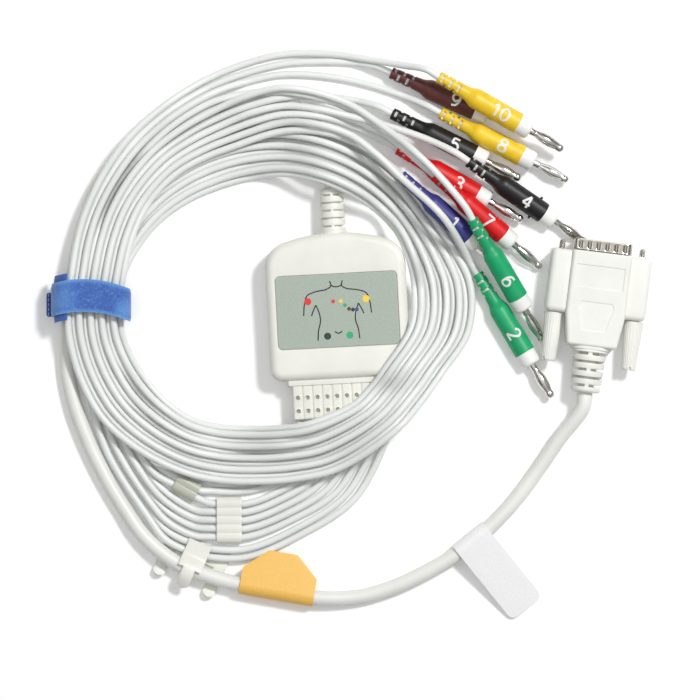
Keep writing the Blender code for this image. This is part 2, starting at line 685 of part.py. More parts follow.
def make_connector_metal(surfaces, parent):
    """The plated shell with its flange, and the insert with fifteen contacts."""
    outer = d_outline(SHELL_WIDTH, SHELL_HEIGHT)
    inner = d_outline(SHELL_WIDTH, SHELL_HEIGHT, SHELL_WALL)
    shroud = plate(outer, -FLANGE_THICK / 2, SHELL_PROUD, [inner])
    shell = add_object("connector_shell", facing_front(shroud, 0.0), surfaces["plated"], parent)
    flange = rounded(-FLANGE_WIDTH / 2, FLANGE_WIDTH / 2, -FLANGE_HEIGHT / 2, FLANGE_HEIGHT / 2, HOOD_EDGE)
    holes = [arc(side * SCREW_SPACING / 2, 0.0, SCREW_R + FIT, 0, 330, 11) for side in (-1, 1)]
    sheet = plate(flange, -FLANGE_THICK, 0.0, [d_outline(SHELL_WIDTH, SHELL_HEIGHT, SHELL_WALL), *holes])
    boolean(shell, facing_front(sheet, 0.0), "UNION", parent)

    body = d_outline(SHELL_WIDTH, SHELL_HEIGHT, SHELL_WALL + 2 * FIT)
    insert = add_object("contact_insert", facing_front(plate(body, -INSERT_DEPTH, 0.0), 0.0),
                        surfaces["insert"], parent)
    for row, count in ((1, 8), (-1, 7)):
        for i in range(count):
            x = CONTACT_PITCH * (i - (count - 1) / 2)
            ring = arc(x, row * CONTACT_ROWS / 2, CONTACT_R, 0, 300, 5)
            contact = facing_front(plate(ring, -INSERT_DEPTH / 2, CONTACT_PROUD), 0.0)
            boolean(insert, contact, "UNION", parent)


def make_thumbscrews(surface, hood):
    """Two screws with long tapered heads, each on an empty at its own axis."""
    for name, side in (("left", -1), ("right", 1)):
        axis = empty(name + "_screw_axis", (side * SCREW_SPACING / 2, 0.0, HOOD_HEIGHT / 2))
        axis.parent = hood
        rear = -EAR_LENGTH - FIT - KNOB_LENGTH
        front = -EAR_LENGTH - FIT
        profile = [(rear, KNOB_REAR_R - KNOB_SLOT / 2), (rear + KNOB_SLOT / 2, KNOB_REAR_R),
                   (front - KNOB_SLOT / 2, KNOB_FRONT_R), (front, KNOB_FRONT_R - KNOB_SLOT / 2),
                   (front, SCREW_R), (SCREW_PROUD - SCREW_R / 2, SCREW_R), (SCREW_PROUD, SCREW_R / 2)]
        body = turned(lathe(profile, KNOB_SIDES), ALONG_Y)
        screw = add_object(name + "_thumbscrew", body, surface, axis)
        slot = box(-KNOB_FRONT_R, KNOB_FRONT_R, rear - KNOB_SLOT, rear + KNOB_SLOT, -KNOB_SLOT / 2,
                   KNOB_SLOT / 2)
        boolean(screw, slot, "DIFFERENCE", axis)


def plug_matrix(row):
    """Where a plug lies: local X runs from its tail to its tip."""
    _, _, tail, heading, pitch = row
    turn = Euler((0.0, math.radians(pitch), math.radians(heading)), "XYZ").to_matrix().to_4x4()
    return Matrix.Translation([c * MM for c in tail]) @ turn


def boot_profile():
    """The boot's stations from tail to front, and which of them are window floors."""
    profile = [(0.0, BOOT_TAIL_R)]
    windows = {}
    pitch = BOOT_TAIL / (BOOT_WINDOWS + BOOT_LEAD_OUT)
    for n in range(BOOT_WINDOWS):
        x = pitch * (n + BOOT_LEAD_IN)
        r = BOOT_TAIL_R + (BOOT_NECK_R - BOOT_TAIL_R) * x / BOOT_TAIL
        for offset, cut in slot_edges(BOOT_WINDOW):
            if cut:
                windows[len(profile)] = n % 2
            profile.append((x + offset, r))
    profile += [(BOOT_TAIL, BOOT_NECK_R), (BOOT_TAIL + BOOT_CONE, BOOT_BODY_R), (BOOT_LENGTH, BOOT_FRONT_R)]
    socket = COLLAR_STEM_R + FIT
    profile += [(BOOT_LENGTH, socket), (BOOT_LENGTH - BOOT_SOCKET, socket)]
    return profile, windows


def make_plugs(surfaces):
    """Ten plugs of one shape: a coloured boot, a pale collar and a spring-leaf pin."""
    profile, windows = boot_profile()

    def boot_radius(i, k, r):
        """Sink the windows, two to a ring and turned by a quarter from ring to ring."""
        if i not in windows:
            return r
        return r - BOOT_WINDOW_DEPTH if (k + 2 * windows[i]) % (PLUG_SIDES // 2) < 2 else r

    face = BOOT_LENGTH + FIT
    end = face + COLLAR_LENGTH
    stem = BOOT_LENGTH - BOOT_SOCKET + FIT
    bore = PIN_STEM_R + FIT
    collar = [(stem, COLLAR_STEM_R), (face, COLLAR_STEM_R), (face, COLLAR_R),
              (end - COLLAR_CHAMFER, COLLAR_R), (end, COLLAR_R - COLLAR_CHAMFER), (end, bore),
              (end - PIN_STEM - FIT, bore)]
    root = end + FIT
    tip = root + PIN_LENGTH
    narrow, widest, shut = (root + PIN_LENGTH * share for share in PIN_STATIONS)
    pin = [(end - PIN_STEM, PIN_STEM_R), (root, PIN_STEM_R), (root, PIN_NECK_R + FIT),
           (narrow, PIN_NECK_R), (widest, PIN_BULGE_R), (shut, PIN_NECK_R + FIT),
           (tip - PIN_NOSE, PIN_NECK_R), (tip, PIN_NECK_R / 2)]
    leaves = (3, 4, 5)

    def pin_radius(i, k, r):
        """Open a slit between neighbouring leaves."""
        return r * PIN_SLIT if i in leaves and k % 3 == 0 else r

    for row in PLUGS:
        number, colour, _, _, _ = row
        holder = empty("plug_" + number, (0, 0, 0))
        holder.matrix_world = plug_matrix(row)
        boot = lathe(profile, PLUG_SIDES, radius=boot_radius)
        add_object("plug_boot_" + number, boot, surfaces[colour], holder)
        add_object("plug_collar_" + number, lathe(collar, PLUG_SIDES), surfaces["collar"], holder)
        leaved = lathe(pin, 3 * PIN_LEAVES, radius=pin_radius)
        add_object("plug_pin_" + number, leaved, surfaces["plated"], holder, 50)


def spline(points, steps):
    """Points of a centripetal Catmull-Rom curve through the given ones, so many in each stretch."""
    points = np.asarray(points, float)
    padded = np.vstack([2 * points[0] - points[1], points, 2 * points[-1] - points[-2]])
    out = []
    for a, b, c, d, count in zip(padded, padded[1:], padded[2:], padded[3:], steps):
        t1 = np.linalg.norm(b - a) ** 0.5
        t2 = t1 + np.linalg.norm(c - b) ** 0.5
        t3 = t2 + np.linalg.norm(d - c) ** 0.5
        for i in range(count):
            t = t1 + (t2 - t1) * i / count
            ab = a + (b - a) * t / t1
            bc = b + (c - b) * (t - t1) / (t2 - t1)
            cd = c + (d - c) * (t - t2) / (t3 - t2)
            abc = ab + (bc - ab) * t / t2
            bcd = bc + (cd - bc) * (t - t1) / (t3 - t1)
            out.append(abc + (bcd - abc) * (t - t1) / (t2 - t1))
    out.append(points[-1])
    return np.array(out)


def resample(points, count):
    """Read a smooth run of points again at even steps along it."""
    lengths = np.concatenate([[0.0], np.cumsum(np.linalg.norm(np.diff(points, axis=0), axis=1))])
    at = np.linspace(0.0, lengths[-1], count)
    return np.column_stack([np.interp(at, lengths, points[:, axis]) for axis in range(points.shape[1])])


def yoke_frame():
    """How the yoke is turned about the origin."""
    return Matrix.Rotation(YOKE_TURN, 4, "Z")


def lead_starts():
    """Each lead's first two points in millimetres: at the block's end face and straight out of it."""
    rows = []
    out = block_end() / MM + FIT / MM
    mid = YOKE_HEIGHT / 2 / MM
    for x in lead_columns():
        rows.append([yoke_frame() @ Vector((x / MM, -out - go, mid)) for go in (0.0, STRAIGHT)])
    return np.array(rows)


def lead_ends():
    """Each lead's last two points in millimetres: straight into the plug's tail."""
    rows = []
    for row in PLUGS:
        place = plug_matrix(row)
        rows.append([place @ Vector((-FIT - go * MM, 0, 0)) / MM for go in (STRAIGHT, 0.0)])
    return np.array(rows)


def first_turn_point(station, k):
    """Where a lead passes a station of the first turn, in millimetres; leads beside a keeper give way."""
    inner, outer = (np.array(spot) for spot in FIRST_TURN[station])
    across = (outer - inner) / np.linalg.norm(outer - inner)
    push = 0
    for _, count, first, stations, _ in KEEPERS:
        if station in stations:
            push = int(k >= first + count) - int(k < first)
    room = (KEEPER_WALL + KEEPER_CLEAR + FIT) / MM
    return inner + (outer - inner) * k / (LEAD_COUNT - 1) + across * push * room


def lead_plans():
    """Each lead's points seen from above, and the numbers of the points where each turn begins."""
    starts = lead_starts()
    ends = lead_ends()
    routes = []
    for k in range(LEAD_COUNT):
        way = [first_turn_point(station, k) for station in range(len(FIRST_TURN))]
        way += [np.array(a) + (np.array(b) - np.array(a)) * k / (LEAD_COUNT - 1) for a, b in SECOND_TURN]
        routes.append(np.array([*starts[k][:, :2], *way, *LAST_POINTS[k], *ends[k][:, :2]]))
    spans = [np.linalg.norm(np.diff(route, axis=0), axis=1) for route in routes]
    shared = 1 + len(FIRST_TURN + SECOND_TURN)
    mean = np.mean([span[:shared] for span in spans], axis=0)
    plans = []
    for route, span in zip(routes, spans):
        steps = np.ceil(np.concatenate([mean, span[shared:]]) / STEP).astype(int)
        plans.append(spline(route, steps))
    before = np.cumsum(steps)
    return plans, before[1], before[1 + len(FIRST_TURN)], before[shared - 1]


def rest_height(points, second, turn_started):
    """How high a lead's middle must lie over the table and the rigid pieces, in millimetres.

    points is (n, 2); second says which points belong to the second turn, and turn_started which have left
    the block, so that the block counts as something to lie on.
    """
    reach = LEAD_DIA / 2 / MM + LEAD_CLEAR / MM
    height = np.full(len(points), LEAD_DIA / 2 / MM)
    spin = np.array(Matrix.Rotation(-YOKE_TURN, 2))
    local = points @ spin.T
    x = np.abs(local[:, 0])
    y = local[:, 1]
    side = (YOKE_WIDTH / 2 - YOKE_SHOULDER_R) / MM
    shoulder_y = (YOKE_TOP - YOKE_ARCH_R) / MM + math.sqrt(
        ((YOKE_ARCH_R - YOKE_SHOULDER_R) / MM) ** 2 - side ** 2)
    inside = np.minimum(YOKE_WIDTH / 2 / MM - x, y + YOKE_BOTTOM / MM)
    corner = YOKE_SHOULDER_R / MM - np.hypot(x - side, y - shoulder_y)
    inside = np.where((y > shoulder_y) & (x > side), corner, inside)
    inside = np.where(y > shoulder_y + side / 2, -2 * reach, inside)
    edge = YOKE_EDGE / MM
    drop = edge * (1 - np.sqrt(1 - np.clip(1 - inside / edge, 0, 1) ** 2))
    over = np.sqrt(np.maximum(reach ** 2 - np.minimum(inside, 0) ** 2, 0))
    on_yoke = (inside > -reach) & turn_started
    height = np.where(on_yoke, np.maximum(height, YOKE_HEIGHT / MM - drop + over), height)
    end = block_end() / MM
    half = block_half_width() / MM + (BLOCK_LIP - GROOVE) / MM
    on_block = (x < half + reach) & (y > -end - reach) & (y < 0) & turn_started
    top = (YOKE_HEIGHT + BLOCK_THICK) / 2 / MM + GROOVE / MM
    height = np.where(on_block, np.maximum(height, top + reach), height)
    for middle, along, long, wide, top, turn in supports():
        beside = points - middle
        within = (np.abs(beside @ along) < long) & (np.abs(beside @ (-along[1], along[0])) < wide)
        height = np.where(within & (second >= turn), np.maximum(height, top + LEAD_DIA / 2 / MM), height)
    return height


def supports():
    """Flat things under the leads: middle, direction, half length, half width, top, and first turn lifted.

    All in millimetres. The first turn runs through the keepers, on their floors, and the second on their
    roofs.
    """
    reach = LEAD_DIA / 2 / MM
    middle = np.array(((TIE_LEFT + TIE_RIGHT) / 2, TIE_Y)) / MM
    half = (TIE_RIGHT - TIE_LEFT) / 2 / MM
    rows = [(middle, np.array((0.0, 1.0)), TIE_WIDTH / 2 / MM + reach, half, (TIE_THICK + FIT) / MM, 0)]
    long = KEEPER_LENGTH / 2 / MM + reach
    for keeper in KEEPERS:
        middle, along, pitch = keeper_place(keeper)
        half = pitch * keeper[1] / 2
        rows.append((middle, along, long, half, (KEEPER_WALL + KEEPER_CLEAR) / MM, 0))
        rows.append((middle, along, long, half + 2 * reach, (keeper_height() + FIT) / MM, 1))
    middle, along, across = clip_place()
    low, high = (edge / MM for edge in CLIP_BASE)
    rows.append((middle + across * (low + high) / 2, along, (CLIP_SPREAD + CLIP_FINGER / 2) / MM + reach,
                 (high - low) / 2 + reach, (CLIP_PLATE + FIT) / MM, 0))
    return rows


def round_supports():
    """Round things under the leads, in millimetres: points (n, 3), radii, and the plug's row or None."""
    trunk = trunk_route()
    fine = resample(trunk / MM, TRUNK_READINGS)
    rows = [(fine, np.full(len(fine), TRUNK_DIA / 2 / MM), None)]
    along = np.linspace(0, YOKE_RELIEF_LENGTH / MM, RELIEF_READINGS)
    stub = np.array([yoke_frame() @ Vector((0, YOKE_TOP / MM + s, YOKE_HEIGHT / 2 / MM)) for s in along])
    rows.append((stub, np.full(len(stub), YOKE_RELIEF_BASE_R / MM), None))
    collar_end = BOOT_LENGTH + COLLAR_LENGTH
    steps = np.linspace(0, (collar_end + PIN_LENGTH) / MM, PLUG_READINGS)
    places = [0, BOOT_TAIL, BOOT_TAIL + BOOT_CONE, BOOT_LENGTH, collar_end, collar_end + COLLAR_CHAMFER]
    sizes = [BOOT_TAIL_R, BOOT_NECK_R, BOOT_BODY_R, BOOT_FRONT_R, COLLAR_R, PIN_BULGE_R]
    radii = np.interp(steps, np.array(places) / MM, np.array(sizes) / MM)
    for row, plug in enumerate(PLUGS):
        place = plug_matrix(plug)
        line = np.array([place @ Vector((s * MM, 0, 0)) / MM for s in steps])
        rows.append((line, radii, row))
    return rows


def settle():
    """Lay the leads down one on another and return each lead's points in metres.

    Seen from above the routes are given. Every lead rests on the table, on the rigid pieces and on the
    leads beneath it: the first turn lies under the second, and in each turn the odd leads under the even
    ones. Heights only rise, until no two leads are nearer than their clearance, and no lead is steeper
    than SLOPE.
    """
    plans, first_from, second_from, last_from = lead_plans()
    starts = lead_starts()
    ends = lead_ends()
    first_vertex = np.cumsum([0] + [len(plan) for plan in plans])
    height = np.full(first_vertex[-1], LEAD_DIA / 2 / MM)
    free = np.ones(first_vertex[-1], bool)
    for k, plan in enumerate(plans):
        a, b = first_vertex[k], first_vertex[k + 1]
        height[a:a + 2] = starts[k][:, 2]
        height[b - 2:b] = ends[k][:, 2]
        free[[a, a + 1, b - 2, b - 1]] = False

    spots, owner, vertex, share, order, place, stage = [], [], [], [], [], [], []
    for k, plan in enumerate(plans):
        count = len(plan) - 1
        at = np.arange(count * SAMPLES + 1) / SAMPLES
        at[-1] -= 1e-6
        index = at.astype(int)
        part = at - index
        spots.append(plan[index] * (1 - part[:, None]) + plan[index + 1] * part[:, None])
        run = np.concatenate([[0], np.cumsum(np.linalg.norm(np.diff(spots[-1], axis=0), axis=1))])
        owner.append(np.full(len(at), k))
        vertex.append(first_vertex[k] + index)
        share.append(part)
        order.append(np.full(len(at), (k % 2) * LEAD_COUNT + k))
        place.append(run)
        stage.append(np.where(index >= last_from, 2, np.where(index >= second_from, 1,
                     np.where(index >= first_from, 0, -1))))
    spots, owner, vertex, share, order, place, stage = map(
        np.concatenate, (spots, owner, vertex, share, order, place, stage))

    reach = LEAD_DIA / MM + np.array([LEAD_CLEAR, SELF_CLEAR]) / MM
    upper, lower, rise = [], [], []
    for start in range(0, len(spots), BATCH):
        rows = slice(start, start + BATCH)
        apart = np.linalg.norm(spots[rows, None] - spots[None], axis=2)
        same = owner[rows, None] == owner[None]
        limit = reach[same.astype(int)]
        later = place[rows, None] - place[None]
        above = np.where(np.abs(later) > SAME_TURN, later > 0, order[rows, None] > order[None])
        near = (apart < limit) & above & ~(same & (np.abs(later) < SAME_TURN))
        i, j = np.nonzero(near)
        upper.append(i + start)
        lower.append(j)
        rise.append(np.sqrt(limit[i, j] ** 2 - apart[i, j] ** 2))
    upper, lower, rise = map(np.concatenate, (upper, lower, rise))

    floor = rest_height(spots, np.maximum(stage, 0), stage >= 0)
    for line, radii, row in round_supports():
        for start in range(0, len(spots), BATCH):
            rows = slice(start, start + BATCH)
            apart = np.linalg.norm(spots[rows, None] - line[None, :, :2], axis=2)
            limit = (radii + LEAD_DIA / 2 / MM + LEAD_CLEAR / MM)[None]
            over = np.sqrt(np.maximum(limit ** 2 - apart ** 2, 0))
            need = np.where(apart < limit, line[None, :, 2] + over, 0)
            if row is not None:
                need *= ((stage[rows] == 2) & (owner[rows] != row))[:, None]
            floor[rows] = np.maximum(floor[rows], need.max(axis=1))

    weight = (1 - share) ** 2 + share ** 2
    for _ in range(ROUNDS):
        level = height[vertex] * (1 - share) + height[vertex + 1] * share
        need = floor.copy()
        np.maximum.at(need, upper, level[lower] + rise)
        short = np.maximum(need - level, 0)
        lift = np.zeros(len(height))
        np.maximum.at(lift, vertex, short * (1 - share) / weight)
        np.maximum.at(lift, vertex + 1, short * share / weight)
        height = np.where(free, height + SETTLE * lift, height)
        for k, plan in enumerate(plans):
            a = first_vertex[k]
            drop = SLOPE * np.linalg.norm(np.diff(plan, axis=0), axis=1)
            for i in range(1, len(plan)):
                if free[a + i]:
                    height[a + i] = max(height[a + i], height[a + i - 1] - drop[i - 1])
            for i in range(len(plan) - 2, -1, -1):
                if free[a + i]:
                    height[a + i] = max(height[a + i], height[a + i + 1] - drop[i])
        if short[free[vertex] & free[vertex + 1]].max() < SETTLED:
            break
    return [np.column_stack([plan, height[first_vertex[k]:first_vertex[k + 1]]]) * MM
            for k, plan in enumerate(plans)]


def least_gap(points, diameter):
    """The least gap that a cord leaves to itself, measured on points read along it."""
    fine = resample(points, GAP_READINGS)
    step = np.linalg.norm(np.diff(fine, axis=0), axis=1).mean()
    skip = int(GAP_SKIP * diameter / step)
    least = 1.0
    for i in range(0, len(fine) - skip, 2):
        least = min(least, np.linalg.norm(fine[i + skip:] - fine[i], axis=1).min())
    return least - diameter


def cord(name, points, diameter, resolution, surface):
    """A round tube through points, with closed ends."""
    curve = bpy.data.curves.new(name, "CURVE")
    curve.dimensions = "3D"
    curve.bevel_depth = diameter / 2
    curve.bevel_resolution = resolution
    curve.use_fill_caps = True
    curve.resolution_u = 1
    curve.render_resolution_u = 0
    line = curve.splines.new("POLY")
    line.points.add(len(points) - 1)
    for spot, point in zip(line.points, points):
        spot.co = (*point, 1.0)
    curve.materials.append(surface)
    piece = bpy.data.objects.new(name, curve)
    bpy.context.collection.objects.link(piece)
    return piece


def hood_frame():
    """The connector's placing: the middle of the hood's front face, on the table."""
    return Matrix.Translation((*HOOD_AT, 0.0)) @ Matrix.Rotation(HOOD_TURN, 4, "Z")


def trunk_route():
    """The trunk's points in metres, from the yoke's relief to the connector's."""
    out = YOKE_TOP + 2 * FIT + YOKE_RELIEF_LENGTH
    start = [yoke_frame() @ Vector((0, out + go, YOKE_HEIGHT / 2)) for go in (0, TRUNK_DIA)]
    back = -HOOD_LENGTH - 2 * FIT - HOOD_RELIEF_LENGTH
    end = [hood_frame() @ Vector((0, back - go, HOOD_HEIGHT / 2)) for go in (TRUNK_DIA, 0)]
    middle = [Vector(point) * MM for point in TRUNK_POINTS]
    smooth = spline([start[1], *middle, end[0]], [SAMPLES] * (len(middle) + 1))
    smooth[:, 2] = np.maximum(smooth[:, 2], TRUNK_DIA / 2 + FIT / 2)
    count = int(np.linalg.norm(np.diff(smooth, axis=0), axis=1).sum() / (TRUNK_STEP * TRUNK_DIA))
    return np.vstack([start[0], resample(smooth, count), end[1]])


# Tie, keepers, clip and tags

def strip(path, width, thick):
    """A bent strip: path lists (along, height), width lists half-widths; it is thick to both sides."""
    rings = []
    path = np.array(path, float)
    for i, (u, z) in enumerate(path):
        ahead = path[min(i + 1, len(path) - 1)] - path[max(i - 1, 0)]
        ahead /= np.linalg.norm(ahead)
        du, dz = -ahead[1] * thick / 2, ahead[0] * thick / 2
        w = width[i]
        rings.append([(-w, u - du, z - dz), (w, u - du, z - dz), (w, u + du, z + dz), (-w, u + du, z + dz)])
    return loft(rings)


def make_tie(surface):
    """The tie: a band round the bundle, its wide head at the left and the tail folded back on top."""
    holder = empty("tie", (0.0, TIE_Y, 0.0))
    top = 2 * TIE_THICK + TIE_INNER_HEIGHT
    outer = rounded(TIE_LEFT, TIE_RIGHT, 0.0, top, TIE_FOLD_R, 4)
    inner = rounded(TIE_LEFT + TIE_THICK, TIE_RIGHT - TIE_THICK, TIE_THICK, top - TIE_THICK,
                    TIE_FOLD_R - TIE_THICK, 4)
    stand = Matrix.Rotation(math.radians(90), 4, "X")
    band = turned(plate(outer, -TIE_WIDTH / 2, TIE_WIDTH / 2, [inner]), stand)
    tie = add_object("tie_strap", band, surface, holder)
    head_z = top / 2
    half = TIE_HEAD_WIDTH / 2
    head = box(TIE_LEFT - TIE_HEAD_REACH, TIE_LEFT + TIE_THICK / 2, -half, half, head_z - TIE_THICK, head_z)
    boolean(tie, head, "UNION", holder)
    fold = TIE_LEFT - TIE_HEAD_REACH + TIE_THICK / 2
    tail = [(fold, head_z - TIE_THICK / 3), (fold + TIE_THICK, head_z + TIE_THICK),
            (TIE_LEFT + TIE_THICK, top - TIE_THICK), (TIE_LEFT + TIE_FOLD_R, top + TIE_THICK / 3),
            (TIE_RIGHT - TIE_FOLD_R, top + TIE_THICK / 3), (TIE_RIGHT - TIE_THICK, top - TIE_THICK / 2)]
    layer = strip(tail, [TIE_WIDTH / 2 - FIT] * len(tail), TIE_THICK)
    boolean(tie, turned(layer, Matrix.Rotation(math.radians(-90), 4, "Z")), "UNION", holder)


def keeper_place(keeper):
    """A keeper's middle, its direction along the leads and their pitch across it, in millimetres."""
    _, count, first, (a, b), _ = keeper
    held = range(first, first + count)
    middle = np.mean([first_turn_point(station, k) for station in (a, b) for k in held], axis=0)
    along = np.mean([first_turn_point(a, k) - first_turn_point(b, k) for k in held], axis=0)
    along /= np.linalg.norm(along)
    span = first_turn_point(a, held[-1]) - first_turn_point(a, held[0])
    return middle, along, abs(span @ (-along[1], along[0])) / (count - 1)


def keeper_height():
    """A keeper's height over the table."""
    return 2 * KEEPER_WALL + 2 * KEEPER_CLEAR + LEAD_DIA


def chain(count, pitch, r, low=None):
    """The outline round a row of circles; with low, the underside is flat there."""
    centres = [pitch * (i - (count - 1) / 2) for i in range(count)]
    cut = math.degrees(math.acos(min(1.0, pitch / 2 / r)))
    upper = []
    for i, c in enumerate(centres[::-1]):
        first = 0 if i == 0 else cut
        last = 180 if i == count - 1 else 180 - cut
        upper += arc(c, 0.0, r, first, last, 4)[(1 if i else 0):]
    if low is None:
        under = [(-y, -z) for y, z in upper]
        return upper[:-1] + under[:-1]
    return upper + [(-r + centres[0], low), (r + centres[-1], low)]


def make_keepers(surfaces):
    """Sleeves that keep a few leads side by side; the five-lead one slides along its straight leads."""
    for keeper in KEEPERS:
        name, count, _, _, colour = keeper
        middle, along, pitch = keeper_place(keeper)
        middle_z = KEEPER_WALL + KEEPER_CLEAR + LEAD_DIA / 2
        holder = empty(name + "_axis", (*middle * MM, middle_z), (0, 0, math.atan2(along[1], along[0])))
        bore = LEAD_DIA / 2 + KEEPER_CLEAR
        outer = chain(count, pitch * MM, bore + KEEPER_WALL, -middle_z)
        inner = chain(count, pitch * MM, bore)
        sleeve = plate(outer, -KEEPER_LENGTH / 2, KEEPER_LENGTH / 2, [inner])
        add_object(name, turned(sleeve, ACROSS_X), surfaces[colour], holder)


def clip_place():
    """The clip's middle in millimetres, its direction along the leads and its direction across them."""
    long = np.array((math.cos(CLIP_TURN), math.sin(CLIP_TURN)))
    return np.array(CLIP_AT), long, np.array((long[1], -long[0]))


def make_clip(surface):
    """The three-prong clip: two prongs and a base under the cords, a pad and the middle prong over them."""
    holder = empty("prong_clip_axis", (CLIP_AT[0] * MM, CLIP_AT[1] * MM, 0.0), (0, 0, CLIP_TURN + math.pi))
    half = CLIP_FINGER / 2
    low, high = CLIP_BASE
    reach = CLIP_REACH - half
    wide = CLIP_SPREAD + half
    outline = [(wide, low)]
    for c in (CLIP_SPREAD, -CLIP_SPREAD):
        outline += [(c + half, high), *arc(c, reach, half, 0, 180, 6), (c - half, high)]
    outline.append((-wide, low))
    clip = add_object("prong_clip", plate(outline, 0.0, CLIP_PLATE), surface, holder)
    over = CLIP_PLATE + LEAD_DIA + 3 * FIT
    near, far = CLIP_WALL
    top = over + CLIP_PLATE
    foot = CLIP_PLATE / 2
    bracket = [(near, foot), (far, foot), (far, top), (low + FIT, top), (low + FIT, over), (near, over)]
    pad = plate(bracket, -CLIP_TOP_LENGTH / 2, CLIP_TOP_LENGTH / 2)
    boolean(clip, turned(pad, ACROSS_X), "UNION", holder)
    middle = over + CLIP_PLATE / 2
    path = [(low + CLIP_PLATE, middle), (near, middle), (far + CLIP_PLATE, CLIP_ARCH),
            (reach - CLIP_PLATE, CLIP_ARCH), (reach, CLIP_ARCH - CLIP_PLATE),
            (CLIP_REACH, CLIP_ARCH - 2 * CLIP_PLATE)]
    widths = [half] * 4 + [half * share for share in CLIP_NARROWING]
    boolean(clip, strip(path, widths, CLIP_PRONG), "UNION", holder)


def make_tags(surfaces):
    """Two blank tags: each wraps the trunk and its two layers meet in a flag with cut corners."""
    line = resample(trunk_route(), 2 * TRUNK_READINGS)
    line = line[line[:, 1] < TAGS_BELOW]
    for name, colour, x, wide, reach, (cut_along, cut_across), loose, side in TAGS:
        nearest = line[np.argmin(np.abs(line[:, 0] - x * MM))]
        covered = line[np.linalg.norm(line - nearest, axis=1) < wide / 2]
        ahead = covered[-1] - covered[0]
        inner = TRUNK_DIA / 2 + loose
        outer = inner + TAG_THICK
        spot = (*covered[:, :2].mean(axis=0), outer + FIT)
        holder = empty(name + "_axis", spot, (0, 0, math.atan2(ahead[1], ahead[0])))
        join = math.degrees(math.asin(TAG_THICK / 2 / outer))
        section = arc(0, 0, outer, join, 360 - join, 14) + [(reach, -TAG_THICK / 2), (reach, TAG_THICK / 2)]
        sheet = plate(section, -wide / 2, wide / 2, [arc(0, 0, inner, 0, 330, 11)])
        mirror = Matrix.Diagonal((1, side, 1, 1))
        tag = add_object(name, turned(sheet, mirror @ ACROSS_X), surfaces[colour], holder)
        beyond = side * (reach + TAG_THICK)
        for end in (-1, 1):
            edge = end * (wide / 2 + TAG_THICK)
            nip = [(end * (wide / 2 - cut_along), beyond), (edge, beyond),
                   (edge, side * (reach - cut_across))]
            boolean(tag, plate(nip, -TRUNK_DIA, TRUNK_DIA), "DIFFERENCE", holder)


def make_surfaces():
    """The colours of the pieces."""
    return {
        "shell": material("warm_white_plastic", (0.94, 0.94, 0.90), 0.45),
        "label": material("grey_green_label", (0.69, 0.74, 0.69), 0.6),
        "board": material("board_green", (0.10, 0.36, 0.20), 0.5),
        "lead": material("lead_jacket", (0.93, 0.945, 0.937), 0.42),
        "trunk": material("trunk_jacket", (0.95, 0.95, 0.93), 0.42),
        "hood": material("hood_white", (0.95, 0.95, 0.93), 0.5),
        "plated": material("plated_metal", (0.80, 0.79, 0.77), 0.25, 1.0),
        "insert": material("insert_black", (0.06, 0.06, 0.06), 0.5),
        "collar": material("collar_white", (0.96, 0.96, 0.92), 0.4),
        "keeper": material("keeper_clear_white", (0.92, 0.92, 0.90), 0.35),
        "grey": material("keeper_grey", (0.65, 0.65, 0.60), 0.45),
        "tie": material("tie_blue", (0.27, 0.45, 0.76), 0.9),
        "orange": material("tag_orange", (0.99, 0.80, 0.43), 0.55),
        "white": material("tag_white", (0.93, 0.93, 0.92), 0.5),
        "blue": material("boot_blue", (0.27, 0.29, 0.61), 0.45),
        "green": material("boot_green", (0.12, 0.65, 0.41), 0.45),
        "red": material("boot_red", (0.91, 0.14, 0.16), 0.45),
        "black": material("boot_black", (0.14, 0.13, 0.13), 0.45),
        "yellow": material("boot_yellow", (0.99, 0.88, 0.31), 0.45),
        "brown": material("boot_brown", (0.33, 0.15, 0.14), 0.45),
    }


def main():
    """Build every piece in its place."""
    clear_scene()
    surfaces = make_surfaces()
    yoke = empty("yoke", (0, 0, 0), (0, 0, YOKE_TURN))
    make_yoke(surfaces, yoke)
    make_lead_block(surfaces["shell"], yoke)
    make_yoke_relief(surfaces["shell"], yoke)
    hood = empty("connector", (*HOOD_AT, 0.0), (0, 0, HOOD_TURN))
    make_hood(surfaces["hood"], hood)
    make_connector_relief(surfaces["hood"], hood)
    make_connector_metal(surfaces, hood)
    make_thumbscrews(surfaces["hood"], hood)
    make_plugs(surfaces)
    cord("trunk_cable", trunk_route(), TRUNK_DIA, 2, surfaces["trunk"])
    for row, points in zip(PLUGS, settle()):
        cord("lead_wire_" + row[0], points, LEAD_DIA, 1, surfaces["lead"])
        length = np.linalg.norm(np.diff(points, axis=0), axis=1).sum()
        gap = least_gap(points, LEAD_DIA)
        print("lead", row[0], "length", round(length, 3), "least gap to itself", round(gap, 5))
    make_tie(surfaces["tie"])
    make_keepers(surfaces)
    make_clip(surfaces["shell"])
    make_tags(surfaces)


main()
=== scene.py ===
"""Coiled patient cable of a heart recorder, laid on a pale table.

The pieces are grids of points worked out with numpy, in metres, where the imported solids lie: ten leads with
banana plugs, a junction box, a trunk, a D connector with thumbscrews, and the tie, keepers, clip and tags on
the coil. +Z is up and the camera looks straight down.
"""

import json
import math

import bpy
import numpy as np
from bpy.props import FloatProperty, FloatVectorProperty, IntProperty, PointerProperty
from mathutils import Euler, Matrix, Vector

